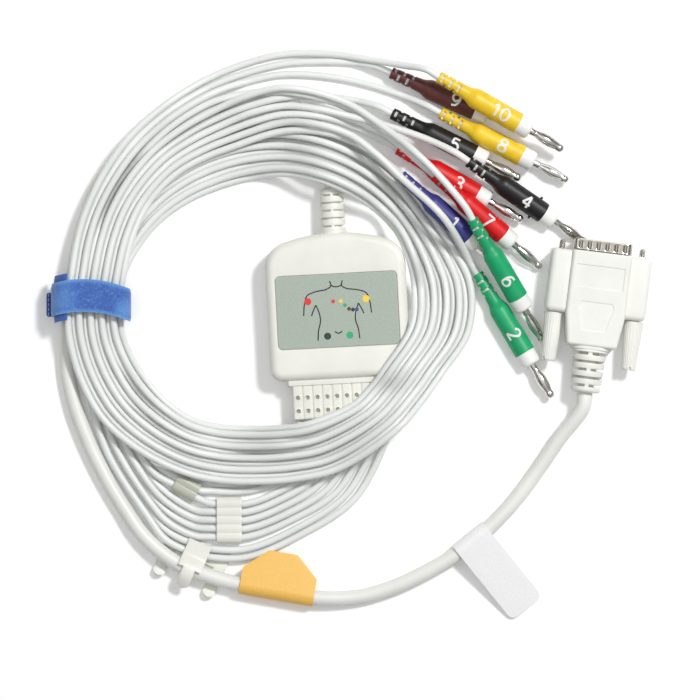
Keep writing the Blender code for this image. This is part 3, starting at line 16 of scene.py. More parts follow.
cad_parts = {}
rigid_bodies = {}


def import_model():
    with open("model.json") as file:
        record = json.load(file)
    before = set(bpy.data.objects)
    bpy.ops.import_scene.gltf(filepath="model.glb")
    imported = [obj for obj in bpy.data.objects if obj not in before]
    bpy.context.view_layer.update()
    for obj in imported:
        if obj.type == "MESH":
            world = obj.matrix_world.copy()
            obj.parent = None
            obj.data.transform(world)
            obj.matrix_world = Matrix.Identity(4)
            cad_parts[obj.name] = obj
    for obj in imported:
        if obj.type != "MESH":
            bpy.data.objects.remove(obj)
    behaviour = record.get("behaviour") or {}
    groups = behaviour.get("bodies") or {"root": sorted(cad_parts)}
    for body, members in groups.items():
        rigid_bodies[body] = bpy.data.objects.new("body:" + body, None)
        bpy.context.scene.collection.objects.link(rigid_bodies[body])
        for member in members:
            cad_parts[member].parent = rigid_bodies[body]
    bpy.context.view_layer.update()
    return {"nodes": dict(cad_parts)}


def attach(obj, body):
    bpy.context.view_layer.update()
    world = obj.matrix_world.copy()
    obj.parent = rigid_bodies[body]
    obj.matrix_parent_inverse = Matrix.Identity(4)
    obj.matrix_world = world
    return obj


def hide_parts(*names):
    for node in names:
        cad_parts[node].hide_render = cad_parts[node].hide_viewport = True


bl_info = {
    "name": "Patient cable",
    "version": (1, 0, 0),
    "blender": (4, 5, 0),
    "location": "View3D > Sidebar > Patient cable",
    "description": "Leads, plugs, junction box, D connector and ties of a coiled patient cable",
    "category": "Object",
}

for item in list(bpy.data.objects):
    bpy.data.objects.remove(item)
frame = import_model()
SET = "cable_set"
MM = 0.001
TENTH = 0.0001
FULL_TURN = 2 * math.pi
CHANNELS = ("red", "green", "blue")

# Plugs: number, colour, tail (x, y, z) in millimetres, then heading, downward pitch and turn of the boot's
# windows in degrees
PLUGS = (
    ("01", "blue", (26.0, 58.5, 13.8), -41.5, 10.0, 60.0),
    ("02", "green", (57.8, 18.3, 4.6), -59.0, 0.0, 75.0),
    ("03", "red", (24.7, 70.0, 4.6), -29.8, 0.0, 20.0),
    ("04", "black", (53.8, 64.4, 11.2), -34.1, 9.0, 82.0),
    ("05", "black", (22.4, 84.6, 4.6), -27.0, 0.0, 14.0),
    ("06", "green", (55.3, 40.3, 16.6), -59.3, 13.0, 68.0),
    ("07", "red", (39.6, 58.6, 14.9), -40.4, 12.0, 50.0),
    ("08", "yellow", (42.5, 84.8, 4.6), -28.0, 0.0, -14.0),
    ("09", "brown", (22.0, 101.4, 4.6), -23.5, 0.0, 62.0),
    ("10", "yellow", (41.5, 99.0, 15.0), -30.0, 6.0, 6.0),
)

# Routes of the leads from the junction box to the plugs, and of the trunk from it to the connector,
# in tenths of a millimetre
LEAD_ROUTES = (
    ((-160, -425, 72), (-157, -485, 72), (-186, -528, 49), (-255, -612, 14), (-311, -636, 14),
     (-375, -649, 14), (-525, -649, 14), (-566, -629, 14), (-664, -571, 14), (-756, -544, 14),
     (-840, -380, 14), (-885, -225, 14), (-910, -60, 32), (-909, 74, 35), (-882, 200, 33), (-816, 319, 14),
     (-725, 420, 14), (-619, 493, 14), (-500, 545, 14), (-363, 584, 15), (-220, 595, 80), (-63, 563, 151),
     (80, 500, 119), (175, 433, 67), (248, 349, 109), (296, 237, 131), (318, 120, 88), (304, -40, 160),
     (200, -205, 165), (138, -288, 135), (65, -360, 134), (-120, -438, 134), (-243, -457, 79),
     (-370, -460, 21), (-489, -453, 14), (-600, -425, 14), (-697, -364, 14), (-780, -280, 14),
     (-849, -177, 33), (-894, -60, 63), (-900, 69, 77), (-882, 200, 90), (-851, 331, 82), (-800, 450, 69),
     (-733, 538, 70), (-650, 610, 68), (-549, 664, 65), (-440, 705, 69), (-220, 770, 102), (-30, 756, 149),
     (110, 702, 106), (214, 626, 149), (258, 587, 139)),
    ((-120, -423, 72), (-117, -483, 72), (-145, -530, 48), (-219, -628, 26), (-292, -663, 22),
     (-375, -684, 16), (-525, -684, 14), (-570, -664, 14), (-669, -606, 16), (-760, -575, 39),
     (-852, -400, 41), (-900, -236, 43), (-927, -62, 58), (-927, 73, 61), (-900, 200, 61), (-832, 326, 46),
     (-737, 434, 40), (-630, 512, 38), (-509, 567, 35), (-369, 607, 50), (-222, 618, 102), (-61, 585, 176),
     (87, 520, 148), (186, 448, 96), (262, 359, 138), (316, 242, 156), (344, 121, 109), (330, -42, 180),
     (226, -207, 200), (161, -294, 161), (84, -371, 174), (-106, -458, 161), (-235, -480, 116),
     (-368, -484, 58), (-490, -477, 35), (-604, -448, 37), (-710, -384, 37), (-801, -296, 61),
     (-872, -186, 101), (-918, -62, 109), (-924, 68, 109), (-906, 200, 113), (-875, 330, 104),
     (-826, 450, 94), (-758, 546, 92), (-673, 626, 88), (-567, 688, 78), (-451, 737, 70), (-220, 805, 113),
     (-83, 793, 175), (50, 750, 172), (160, 669, 178), (260, 574, 182), (430, 414, 208), (546, 237, 46),
     (576, 186, 46)),
    ((-79, -421, 72), (-76, -481, 72), (-104, -532, 46), (-184, -644, 14), (-274, -690, 14),
     (-375, -718, 14), (-525, -718, 19), (-576, -713, 29), (-676, -656, 26), (-763, -605, 14),
     (-865, -420, 14), (-916, -247, 14), (-945, -64, 32), (-945, 72, 35), (-918, 200, 33), (-848, 333, 14),
     (-750, 449, 14), (-641, 531, 14), (-518, 589, 14), (-375, 631, 14), (-224, 642, 53), (-59, 607, 129),
     (93, 540, 90), (196, 463, 32), (276, 368, 14), (337, 247, 14), (370, 122, 33), (356, -44, 108),
     (252, -208, 177), (184, -300, 134), (104, -382, 150), (-92, -478, 112), (-226, -503, 96),
     (-366, -508, 34), (-491, -501, 14), (-609, -472, 14), (-723, -404, 14), (-821, -311, 34),
     (-895, -194, 81), (-941, -64, 88), (-947, 67, 88), (-929, 200, 92), (-900, 329, 79), (-852, 450, 71),
     (-783, 553, 71), (-696, 641, 66), (-584, 713, 58), (-462, 768, 65), (-339, 813, 80), (-220, 840, 83),
     (-60, 828, 82), (80, 786, 16), (192, 731, 46), (244, 701, 46)),
    ((-39, -419, 72), (-36, -479, 72), (-63, -534, 45), (-148, -659, 14), (-256, -725, 14),
     (-375, -768, 26), (-525, -768, 26), (-579, -748, 26), (-680, -692, 26), (-767, -636, 40),
     (-877, -441, 41), (-932, -258, 43), (-962, -67, 58), (-963, 71, 61), (-937, 200, 61), (-864, 340, 45),
     (-762, 463, 40), (-652, 549, 38), (-527, 612, 35), (-381, 654, 42), (-227, 665, 76), (-57, 630, 154),
     (100, 560, 118), (206, 478, 67), (291, 378, 41), (357, 252, 38), (395, 123, 57), (382, -47, 126),
     (278, -210, 205), (207, -306, 166), (123, -393, 178), (-78, -499, 135), (-218, -526, 122),
     (-363, -532, 62), (-491, -525, 35), (-613, -495, 37), (-736, -425, 57), (-842, -327, 91),
     (-918, -203, 100), (-965, -67, 110), (-971, 67, 113), (-953, 200, 114), (-925, 329, 101),
     (-879, 450, 94), (-809, 560, 92), (-719, 657, 86), (-602, 737, 70), (-473, 800, 62), (-348, 849, 86),
     (-220, 875, 80), (-86, 862, 101), (40, 834, 82), (200, 794, 81), (370, 736, 94), (486, 679, 122),
     (536, 646, 112)),
    ((2, -416, 72), (5, -476, 72), (-22, -536, 43), (-112, -675, 14), (-237, -752, 14), (-375, -803, 26),
     (-525, -803, 26), (-585, -798, 14), (-687, -742, 14), (-770, -667, 14), (-890, -461, 14),
     (-947, -269, 14), (-979, -69, 32), (-981, 70, 35), (-955, 200, 33), (-880, 347, 14), (-774, 478, 14),
     (-663, 568, 14), (-536, 634, 14), (-386, 678, 14), (-229, 688, 42), (-54, 652, 122), (107, 580, 61),
     (217, 494, 14), (305, 388, 14), (378, 257, 14), (421, 124, 14), (408, -49, 64), (304, -212, 151),
     (230, -312, 134), (143, -404, 142), (-64, -519, 96), (-210, -549, 73), (-361, -556, 20),
     (-492, -549, 14), (-618, -518, 14), (-749, -445, 31), (-862, -342, 73), (-942, -212, 78),
     (-988, -69, 89), (-994, 66, 92), (-976, 200, 92), (-950, 328, 80), (-905, 450, 72), (-834, 568, 71),
     (-742, 672, 61), (-620, 762, 40), (-484, 832, 54), (-350, 880, 80), (-220, 910, 81), (-60, 916, 28),
     (70, 902, 14), (168, 875, 46), (221, 847, 46)),
    ((42, -414, 72), (45, -474, 72), (20, -538, 42), (-77, -691, 14), (-219, -779, 14), (-375, -837, 26),
     (-525, -837, 26), (-589, -832, 15), (-692, -777, 29), (-774, -697, 40), (-902, -481, 40),
     (-963, -280, 43), (-997, -71, 58), (-999, 68, 61), (-973, 200, 61), (-896, 354, 45), (-787, 492, 40),
     (-673, 587, 38), (-544, 656, 35), (-392, 701, 36), (-231, 712, 67), (-52, 674, 149), (113, 600, 91),
     (227, 509, 51), (319, 397, 41), (398, 263, 38), (447, 126, 41), (434, -51, 88), (330, -213, 174),
     (253, -318, 161), (162, -416, 169), (-51, -539, 121), (-202, -571, 97), (-359, -580, 57),
     (-493, -573, 40), (-622, -542, 62), (-763, -466, 91), (-883, -358, 91), (-965, -221, 99),
     (-1012, -71, 111), (-1017, 65, 114), (-1000, 200, 113), (-974, 327, 104), (-931, 450, 94),
     (-859, 575, 92), (-764, 688, 84), (-637, 786, 86), (-496, 863, 86), (-358, 919, 116), (-220, 946, 135),
     (20, 894, 96), (220, 762, 130), (320, 676, 189), (410, 588, 189), (522, 456, 180), (552, 406, 167)),
    ((82, -412, 72), (86, -472, 72), (61, -540, 40), (-41, -707, 14), (-201, -807, 14), (-375, -872, 26),
     (-525, -872, 26), (-592, -867, 14), (-697, -812, 14), (-777, -728, 14), (-915, -501, 14),
     (-979, -291, 14), (-1014, -73, 32), (-1017, 67, 35), (-991, 200, 33), (-911, 362, 14), (-799, 507, 14),
     (-684, 606, 14), (-553, 678, 14), (-398, 724, 14), (-233, 735, 30), (-50, 697, 103), (120, 620, 39),
     (238, 524, 14), (333, 407, 14), (419, 268, 14), (473, 127, 14), (460, -53, 14), (356, -215, 73),
     (276, -324, 134), (182, -427, 134), (-37, -559, 74), (-193, -594, 65), (-357, -604, 36),
     (-494, -597, 15), (-627, -565, 35), (-776, -486, 71), (-903, -373, 73), (-988, -230, 79),
     (-1035, -73, 90), (-1041, 64, 93), (-1023, 200, 92), (-999, 327, 85), (-957, 450, 50), (-885, 582, 23),
     (-787, 703, 67), (-655, 814, 82), (-507, 895, 78), (-363, 928, 72), (-220, 932, 106), (0, 884, 63),
     (150, 796, 44), (270, 700, 113), (349, 626, 162), (394, 588, 150)),
    ((123, -410, 72), (126, -470, 72), (102, -542, 38), (-5, -722, 14), (-184, -834, 14), (-375, -907, 26),
     (-525, -907, 27), (-596, -902, 32), (-701, -847, 46), (-781, -759, 39), (-927, -522, 40),
     (-994, -302, 43), (-1031, -76, 58), (-1035, 66, 62), (-1010, 200, 60), (-927, 369, 45),
     (-811, 521, 40), (-695, 625, 38), (-562, 701, 35), (-404, 748, 41), (-236, 758, 68), (-47, 719, 130),
     (127, 640, 72), (248, 539, 43), (348, 417, 41), (440, 273, 38), (498, 128, 34), (486, -56, 46),
     (382, -217, 92), (299, -330, 156), (201, -438, 181), (-23, -580, 96), (-185, -617, 86),
     (-354, -628, 73), (-495, -621, 67), (-631, -588, 73), (-789, -506, 95), (-924, -389, 92),
     (-1011, -239, 98), (-1059, -76, 113), (-1064, 64, 128), (-1047, 200, 114), (-1024, 327, 106),
     (-984, 450, 98), (-910, 589, 98), (-810, 719, 96), (-673, 835, 100), (-518, 927, 79), (-367, 982, 14),
     (-220, 1010, 14), (-20, 998, 14), (130, 966, 14), (270, 920, 14), (369, 878, 46), (422, 849, 46)),
    ((163, -408, 72), (166, -468, 72), (143, -544, 37), (30, -738, 14), (-166, -869, 14), (-375, -956, 25),
     (-525, -956, 35), (-600, -936, 31), (-706, -883, 31), (-784, -789, 14), (-940, -542, 14),
     (-1010, -313, 14), (-1049, -78, 30), (-1053, 65, 36), (-1028, 200, 33), (-943, 376, 14),
     (-824, 536, 14), (-706, 644, 14), (-571, 723, 14), (-410, 771, 14), (-238, 782, 44), (-45, 742, 88),
     (133, 660, 23), (258, 554, 14), (362, 426, 14), (460, 278, 14), (524, 129, 14), (512, -58, 14),
     (408, -218, 23), (322, -336, 89), (221, -449, 157), (-9, -600, 62), (-177, -640, 58), (-352, -652, 53),
     (-496, -645, 46), (-636, -612, 49), (-802, -527, 75), (-944, -404, 72), (-1034, -248, 78),
     (-1082, -78, 91), (-1088, 63, 107), (-1070, 200, 91), (-1049, 326, 83), (-1010, 450, 77),
     (-935, 597, 79), (-833, 734, 81), (-690, 859, 63), (-529, 958, 14), (-369, 1019, 14), (-220, 1054, 14),
     (-80, 1062, 14), (60, 1058, 14), (162, 1039, 46), (217, 1015, 46)),
    ((204, -406, 72), (207, -466, 72), (184, -546, 35), (66, -754, 14), (-148, -896, 14), (-375, -991, 31),
     (-525, -991, 32), (-604, -971, 31), (-711, -918, 51), (-788, -820, 43), (-952, -562, 40),
     (-1026, -324, 40), (-1066, -80, 59), (-1070, 64, 80), (-1046, 200, 65), (-959, 383, 41),
     (-836, 550, 40), (-717, 663, 37), (-580, 745, 35), (-416, 795, 37), (-240, 805, 67), (-43, 764, 114),
     (140, 680, 57), (269, 569, 41), (376, 436, 41), (481, 283, 38), (550, 130, 34), (538, -60, 35),
     (434, -220, 48), (345, -342, 114), (240, -460, 184), (5, -620, 96), (-169, -663, 78), (-350, -676, 73),
     (-497, -669, 66), (-640, -635, 77), (-815, -547, 95), (-965, -420, 92), (-1057, -257, 97),
     (-1106, -80, 114), (-1111, 62, 128), (-1094, 200, 115), (-1073, 326, 104), (-1036, 450, 98),
     (-961, 604, 97), (-856, 750, 97), (-708, 883, 74), (-540, 990, 29), (-377, 1057, 14), (-220, 1094, 15),
     (-20, 1092, 25), (130, 1068, 57), (270, 1040, 115), (361, 1021, 157), (412, 991, 150)),
)
TRUNK_ROUTE = (
    (-28, 537, 72), (-31, 599, 72), (-61, 746, 34), (-159, 865, 32), (-310, 902, 32), (-465, 886, 32),
    (-614, 837, 32), (-755, 769, 32), (-883, 678, 32), (-984, 558, 32), (-1043, 413, 32), (-1082, 262, 42),
    (-1104, 107, 50), (-1115, -50, 49), (-1120, -205, 32), (-1090, -359, 32), (-1036, -506, 32),
    (-968, -648, 32), (-888, -783, 34), (-797, -909, 46), (-676, -1008, 51), (-532, -1069, 50),
    (-380, -1108, 47), (-226, -1136, 47), (-71, -1160, 44), (85, -1155, 32), (236, -1112, 33),
    (377, -1045, 37), (510, -963, 45), (631, -863, 45), (739, -749, 35), (832, -624, 33), (920, -495, 48),
    (1012, -371, 80), (1019, -310, 80),
)

# Stage; lamps by name, place, size and share of the key's power
VIEW_MIDDLE = (0.0050, -0.0133)
SENSOR_WIDTH = 36.0
TABLE_HALF = 3.0
TABLE_DROP = 0.0001
TABLE_TONES = ((0.955, 0.955, 0.955), (0.97, 0.97, 0.97))
TABLE_LIFT = 0.14
SKY_FOOT = 0.16
SKY_TOP = 0.82
SKY_RISE = 4.0
LAMPS = (("key", (0.72, 0.66, 1.50), 0.26, 1.0), ("fill", (-0.9, 0.4, 1.9), 1.4, 0.2))

# Places of the two assemblies
YOKE_TURN = math.radians(3.0)
HOOD_AT = (0.1090, 0.0267)
HOOD_TURN = math.radians(-7.0)

# Junction box
YOKE_HALF = 0.0290
YOKE_TOP = 0.0352
YOKE_BOTTOM = 0.0250
YOKE_HEIGHT = 0.0145
YOKE_EDGE = 0.0034
YOKE_ARCH_R = 0.070
YOKE_SHOULDER_R = 0.011
YOKE_CORNER_R = 0.005
LABEL_AT = (0.0, 0.003)
LABEL_HALF = (0.025, 0.015)
LABEL_CORNER = 0.0018
LABEL_TOP = YOKE_HEIGHT - 0.0001
FIGURE_HALF = 0.00025
PRINT_SINK = 0.0001
LINE_LIFT = 0.00003
DOT_LIFT = 0.00005

# Its edges: inset and height from the seam, inset and height over the table, growth of the label's outline
# and depth under the box's top, and the same for the label under its own top
SEAM_EDGE = ((0.0012, 0.00012), (0.0003, 0.00012), (0.0, 0.00042))
FOOT_EDGE = ((0.0, 0.0016), (0.0003, 0.0006), (0.0008, 0.0002), (0.0016, 0.0))
LABEL_WELL = ((0.0005, 0.0), (0.0003, 0.00004), (0.0002, 0.0002), (0.0001, 0.0006))
LABEL_EDGE = ((-0.0001, 0.0004), (0.0, 0.0004), (0.0, 0.00004), (-0.0001, 0.0), (-0.0004, 0.0))

# Strain-relief block under the junction box
LEAD_PITCH = 0.00405
LEADS = 10
BLOCK_HALF = 0.02022
BLOCK_THICK = 0.0080
BLOCK_FRONT = -0.0250
BLOCK_END = -0.0413
BLOCK_RIM = 0.0009
BLOCK_SINK = 0.002
GROOVE_DEPTH = 0.00055
GROOVE_POWER = 7
LIP_HALF = 0.0220
LIP_LENGTH = 0.0023
LIP_PROUD = 0.0005
LIP_CORNER = 0.0008
LIP_EDGE = 0.0004
LIP_SINK = 0.001
PIT_ROWS = (0.0036, 0.0091)
PIT_R = 0.00085
PIT_DEPTH = 0.0024
PIT_RIM = 0.00012
PIT_FLOOR = PIT_R * 0.78
PIT_RING = PIT_R * 1.35
PIT_RING_R = PIT_R * 0.2

# Plugs, from the tail forward; stations are (x, radius), those of the boot and its windows in millimetres
BOOT_LENGTH = 0.0380
BOOT_STATIONS = ((0.0, 2.30), (0.3, 2.48), (10.2, 2.72), (13.4, 2.90), (14.2, 3.05), (14.8, 3.25),
                 (16.6, 4.02), (17.3, 4.20), (18.2, 4.27), (37.7, 4.40), (38.0, 4.30))
BOOT_WINDOWS = (1.2, 3.15, 5.1, 7.05, 9.0)
BOOT_WINDOW = 0.00095
WINDOW_SLOPE = 0.00008
WINDOW_SINES = (0.68, 0.78)
WINDOW_FLOOR = 0.9
WIRE_SHOWN = 0.0016
# The lead seen in the boots' windows is darkened by this factor: painted shade in the sunk windows
WINDOW_PAINTED_SHADE = 0.88
PEGGED = "04"
PEG_AT = 0.0340
PEG_STATIONS = ((0.0, 0.00055), (0.0048, 0.00055), (0.0052, 0.00045), (0.0053, 0.0002))
NUMBER_AT = 0.0291
INK_LIFT = 0.00004
INK_SINK = 0.00012
COLLAR_LENGTH = 0.0055
COLLAR_FRONT = BOOT_LENGTH + COLLAR_LENGTH + 0.0003
COLLAR_R = 0.0042
COLLAR_RIM = 0.0013
COLLAR_ROOT_R = 0.003
COLLAR_BORE = 0.0022
COLLAR_SINK = 0.001
PIN_ROOT = BOOT_LENGTH + COLLAR_LENGTH + 0.0006
PIN_LENGTH = 0.0158
PIN_NOSE = 0.00172
NOSE_TURN = 85
PIN_CORE = ((-0.001, 0.0016), (0.0018, 0.0016), (0.0022, 0.0015), (0.0024, 0.0007))
PIN_NECK = ((-0.0013, 0.0007), (-0.0011, 0.00160), (-0.0006, PIN_NOSE))
LEAVES = 4
LEAF_TWIST = 0.6
LEAF_START = 0.0022
LEAF_SHORT = 0.0049
LEAF_R = 0.00145
LEAF_RISE = 0.00014
LEAF_BOW = 0.00074
LEAF_MARGIN = 0.02
LEAF_POWER = 1.3
LEAF_THICK = 0.00028
LEAF_SPREAD = math.radians(69)
LEAF_TAPER = 0.22

# Bend reliefs: length, radius at the root and at the end, depth and width of the slots
BOX_RELIEF = (0.0183, 0.0053, 0.0047, 0.0015, 0.0006)
PLUG_RELIEF = (0.0188, 0.0071, 0.0062, 0.0029, 0.0009)
RELIEF_SLOTS = 5
RELIEF_PITCHES = 5.7
RELIEF_FIRST = 0.72
RELIEF_RIM = 0.0012
RELIEF_WAIST = 0.00015
SLOT_SLOPE = 0.0001
WEB_SINES = (0.14, 0.22)
BOX_RING = ((-0.0030, 0.0055), (0.0008, 0.0055), (0.0011, 0.0052), (0.0011, 0.0050))

# Steps between the hood and its relief: half width, half height, start and end from the hood's rear
HOOD_STEPS = ((0.0083, 0.0074, 0.0020, -0.0012), (0.0074, 0.0072, -0.0010, -0.0022))
STEP_CORNER = 0.0055
STEP_EDGE = 0.0003

# D connector; its flange is a slab, written as half x, half y, corner, low, high and edge
HOOD_HEIGHT = 0.0160
HOOD_LENGTH = 0.0390
HOOD_HALF = 0.01225
HOOD_WAIST = 0.0103
HOOD_CORNER = 0.0014
HOOD_FRONT_RIM = 0.0006
HOOD_REAR_RIM = 0.0012
FIELD_HALF = 0.0101
FIELD_Y = (-0.0152, -0.0056)
FIELD_DEPTH = 0.00028
GRIP_Y = (-0.0326, -0.0226, -0.0206)
GRIP_HALF = (0.0050, 0.0074, 0.0066)
GRIP_DEPTH = 0.00030
RIDGE_HEIGHT = 0.00014
RIDGE_PITCH = 0.0010
SINK_SLOPE = 0.0003
EAR_HALF = (0.0054, 0.00625)
EAR_MIDDLE = 0.01545
EAR_LENGTH = 0.0262
EAR_CORNER = 0.0026
EAR_EDGE = 0.0023
SHELL_HALF = (0.0125, 0.0042)
SHELL_SLANT = math.radians(10)
SHELL_CORNER = 0.0022
FLANGE = (0.0182, 0.0052, 0.0012, -0.0008, 0.00005, 0.0001)
DENTS = 6
DENT_REACH = 0.0092
DENT_ENDS = (0.0015, 0.0036, 0.0006)
DENT_R = 0.00062
DENT_DEPTH = 0.00060
FLAT_FACING = 0.95
CONTACT_PITCH = 0.00277
CONTACT_ROW = 0.00142
CONTACT_COUNTS = ((1, 8), (-1, 7))
CONTACT = ((-0.0005, 0.0005), (0.0037, 0.0005), (0.0041, 0.00038), (0.0043, 0.00012))

# Its shell's wall, (outwards, forwards) in millimetres, and its insert, inset and place
SHELL_FOOT = ((0.9, -0.1), (0.4, 0.12), (0.12, 0.36))
SHELL_WALL = np.column_stack([np.zeros(18), np.linspace(0.75, 4.5, 18)])
SHELL_RIM = ((-0.08, 4.85), (-0.25, 5.0), (-0.42, 4.85), (-0.5, 4.5), (-0.5, -0.6))
INSERT = ((0.0006, -0.0040), (0.0006, -0.0002), (0.0008, 0.0))

# Thumbscrews; a knob's face is a range of radii, and its edge is stations (x, radius) from its rear
SCREW_SPACING = 0.0333
KNOB_REAR = -EAR_LENGTH - 0.0205
KNOB_FRONT = -EAR_LENGTH - 0.0002
KNOB_R = (0.0029, 0.0040)
KNOB_FACE = (0.0002, 0.0024)
KNOB_EDGE = ((0.0001, 0.0026), (0.0004, 0.0028))
KNOB_SHAFT = (KNOB_REAR + 0.0007, KNOB_FRONT - 0.0006)
KNOB_RIM = (KNOB_FRONT - 0.0002, KNOB_FRONT)
KNOB_CHAMFER = 0.0005
FLUTES = 22
FLUTE_DEPTH = 0.00014
FLUTE_ENDS = (KNOB_REAR + 0.001, KNOB_FRONT - 0.0012, 0.0005)
SLOT_HALF = 0.00062
SLOT_DEPTH = 0.0015
SCREW_ENDS = (-0.0022, 0.0036)
SCREW_POINT = 0.0030
SCREW_R = 0.00115
SCREW_TAPER = 0.35
THREAD_DEPTH = 0.00022
THREAD_PITCH = 0.000635

# Tie; its bar is a slab, written as the flange is
TIE_LEFT = -0.1159
TIE_RIGHT = -0.0864
TIE_HALF = 0.00675
BAND_HALF = TIE_HALF - 0.0004
TIE_TOP = 0.0154
TIE_THICK = 0.0010
TIE_FOLD = 0.0044
TIE_Y = 0.0078
TAIL_THICK = 0.0011
HEM = 0.0016
SELVEDGE = (0.86, 0.99)
BOW_TOP = 0.0013
BOW_X = -0.1045
BOW_REACH = 0.0175
BOW_DROP = 0.0034
HEAD_HALF = 0.0096
HEAD_THICK = 0.0012
BAR = (0.0015, 0.0050, 0.0010, 0.0050, 0.0066, 0.0004)
BAR_AT = (-0.1190, 0.0054, 0.0)
STITCHES = 5
STITCH_AT = (-0.1196, 0.0054, 0.0065)
STITCH_REACH = 0.0039
STITCH_HALF = 0.0006
STITCH_RISE = 0.0003
STITCH_TURN = 1.4
THREAD_R = 0.00022

# Keepers
KEEPER_R = 0.00265
KEEPER_BORE = 0.00185
KEEPER_HALF = 0.0103 / 2
KEEPER_FOOT = 6

# Clip; its base and its wall are slabs, written as the flange is
CLIP_AT = (-0.0579, -0.0958, 0.0)
CLIP_TURN = math.radians(156.0)
CLIP_THICK = 0.0013
FINGER_HALF = 0.00265
FINGER_X = 0.0112
FINGER_TIP = 0.02
PAD_HALF = 0.0050
CLIP_BASE = (0.0138, 0.0040, 0.0016, 0.0, 0.0014, 0.0004)
CLIP_WALL = (PAD_HALF, 0.0004, 0.0004, 0.0007, 0.0062, 0.0001)
BASE_Y = 0.0006
WALL_Y = 0.0044

# Fineness of the meshes: points round an outline or along a line, steps in a stretch, rows, columns, sides
TABLE_POINTS = 9
STROKE_STEPS = 8
STROKE_POINTS = 14
DOT_SIDES = 24
ARCH_STEPS = 40
BOX_POINTS = 900
LABEL_POINTS = 700
BEARINGS = 170
D_POINTS = 240
STRAP_STEPS = 12
STRAP_POINTS = 150
STRAP_COLUMNS = 9
STITCH_POINTS = 8
THREAD_SIDES = 8
ROW_POINTS = (40, 16)
PAD_FINE = (10, 40)
PRONG_FINE = (12, 60)
FILM_POINTS = (80, 120, 48)
BOOT_ROWS = 90
BOOT_SIDES = 64
PEG_SIDES = 12
COLLAR_SIDES = 48
PIN_SIDES = 32
NOSE_ROWS = 7
LEAF_ROWS = 26
LEAF_COLUMNS = 7
FINGER_ROWS = 76
FINGER_COLUMNS = (241, 41)
RELIEF_ROWS = 190
RELIEF_SIDES = 96
RING_SIDES = 64
HOOD_ROWS = 180
HOOD_COLUMNS = (131, 21)
CONTACT_SIDES = 16
KNOB_ROWS = (9, 34)
KNOB_SIDES = 176
SCREW_ROWS = 60
SCREW_SIDES = 32

# Straps and slabs: width and thickness of a strap's face and rim, and the least of a slab's corner, as shares
STRAP_FACE = 0.97
STRAP_RIM = 0.4
LEAST_CORNER = 0.2

# Tags
FILM_THICK = 0.00034
FILM_ROOM = 0.0007
FILM_GAP = 0.0004
FILM_PARTS = 0.45


def turned(location, heading=0.0, pitch=0.0):
    """A placing: turned down by pitch, then by heading about the upright, then moved."""
    return np.array(Matrix.Translation(location) @ Euler((0, pitch, heading)).to_matrix().to_4x4())


YOKE_PLACE = turned((0.0, 0.0, 0.0), YOKE_TURN)
HOOD_PLACE = turned((*HOOD_AT, HOOD_HEIGHT / 2), HOOD_TURN)


def ease(low, high, x):
    """0 below low, 1 above high, and a smooth S between them."""
    t = np.clip((x - low) / (high - low), 0.0, 1.0)
    return t * t * (3 - 2 * t)


def bump(x, low, high, soft):
    """1 between low and high, 0 outside, with a slope of width soft at both edges."""
    return ease(low - soft, low, x) * (1 - ease(high, high + soft, x))


def roll_off(past, size):
    """How far a round rim of a radius draws in, at a distance past the place where it begins."""
    share = np.clip(past / size, 0, 1)
    return size * (1 - np.sqrt(1 - share ** 2))


def unit(vectors):
    """Vectors made one long."""
    return vectors / np.linalg.norm(vectors, axis=-1, keepdims=True)


def run_along(line):
    """The distance from the start at each point of a line."""
    return np.concatenate([[0.0], np.cumsum(np.linalg.norm(np.diff(line, axis=0), axis=1))])


def headings(line, closed=False):
    """The direction of a line at each of its points, one long."""
    if closed:
        return unit(np.roll(line, -1, axis=0) - np.roll(line, 1, axis=0))
    return unit(np.gradient(line, axis=0))


def full_circle(sides):
    """Angles of so many sides round a circle."""
    return np.linspace(0, FULL_TURN, sides, endpoint=False)


def quarter_circle(steps):
    """Angles of so many steps through a quarter circle, both ends included."""
    return np.radians(np.linspace(0, 90, steps + 1))


def linear(colour):
    """sRGB to linear light, with full alpha."""
    return (*[((c + 0.055) / 1.055) ** 2.4 if c > 0.04045 else c / 12.92 for c in colour], 1.0)


def shade(colour, factor):
    """A colour times a factor, in sRGB."""
    return tuple(min(1.0, c * factor) for c in colour)


# Shader maths

class Socket:
    """A shader output that can be added to and multiplied; each operation makes a Math node."""

    def __init__(self, finish, output):
        self.finish = finish
        self.output = output

    def maths(self, operation, *values):
        """A Math node with these values on its sockets, in order."""
        return self.finish.node("ShaderNodeMath", {"operation": operation}, dict(enumerate(values)))

    def __add__(self, other):
        return self.maths("ADD", self, other)

    def __mul__(self, other):
        return self.maths("MULTIPLY", self, other)

    def sine(self):
        """The sine of the value, in radians."""
        return self.maths("SINE", self)

    def clamped(self, low, high):
        """0 at low and 1 at high, straight between them."""
        return self.finish.node("ShaderNodeMapRange", {}, {0: self, 1: low, 2: high})


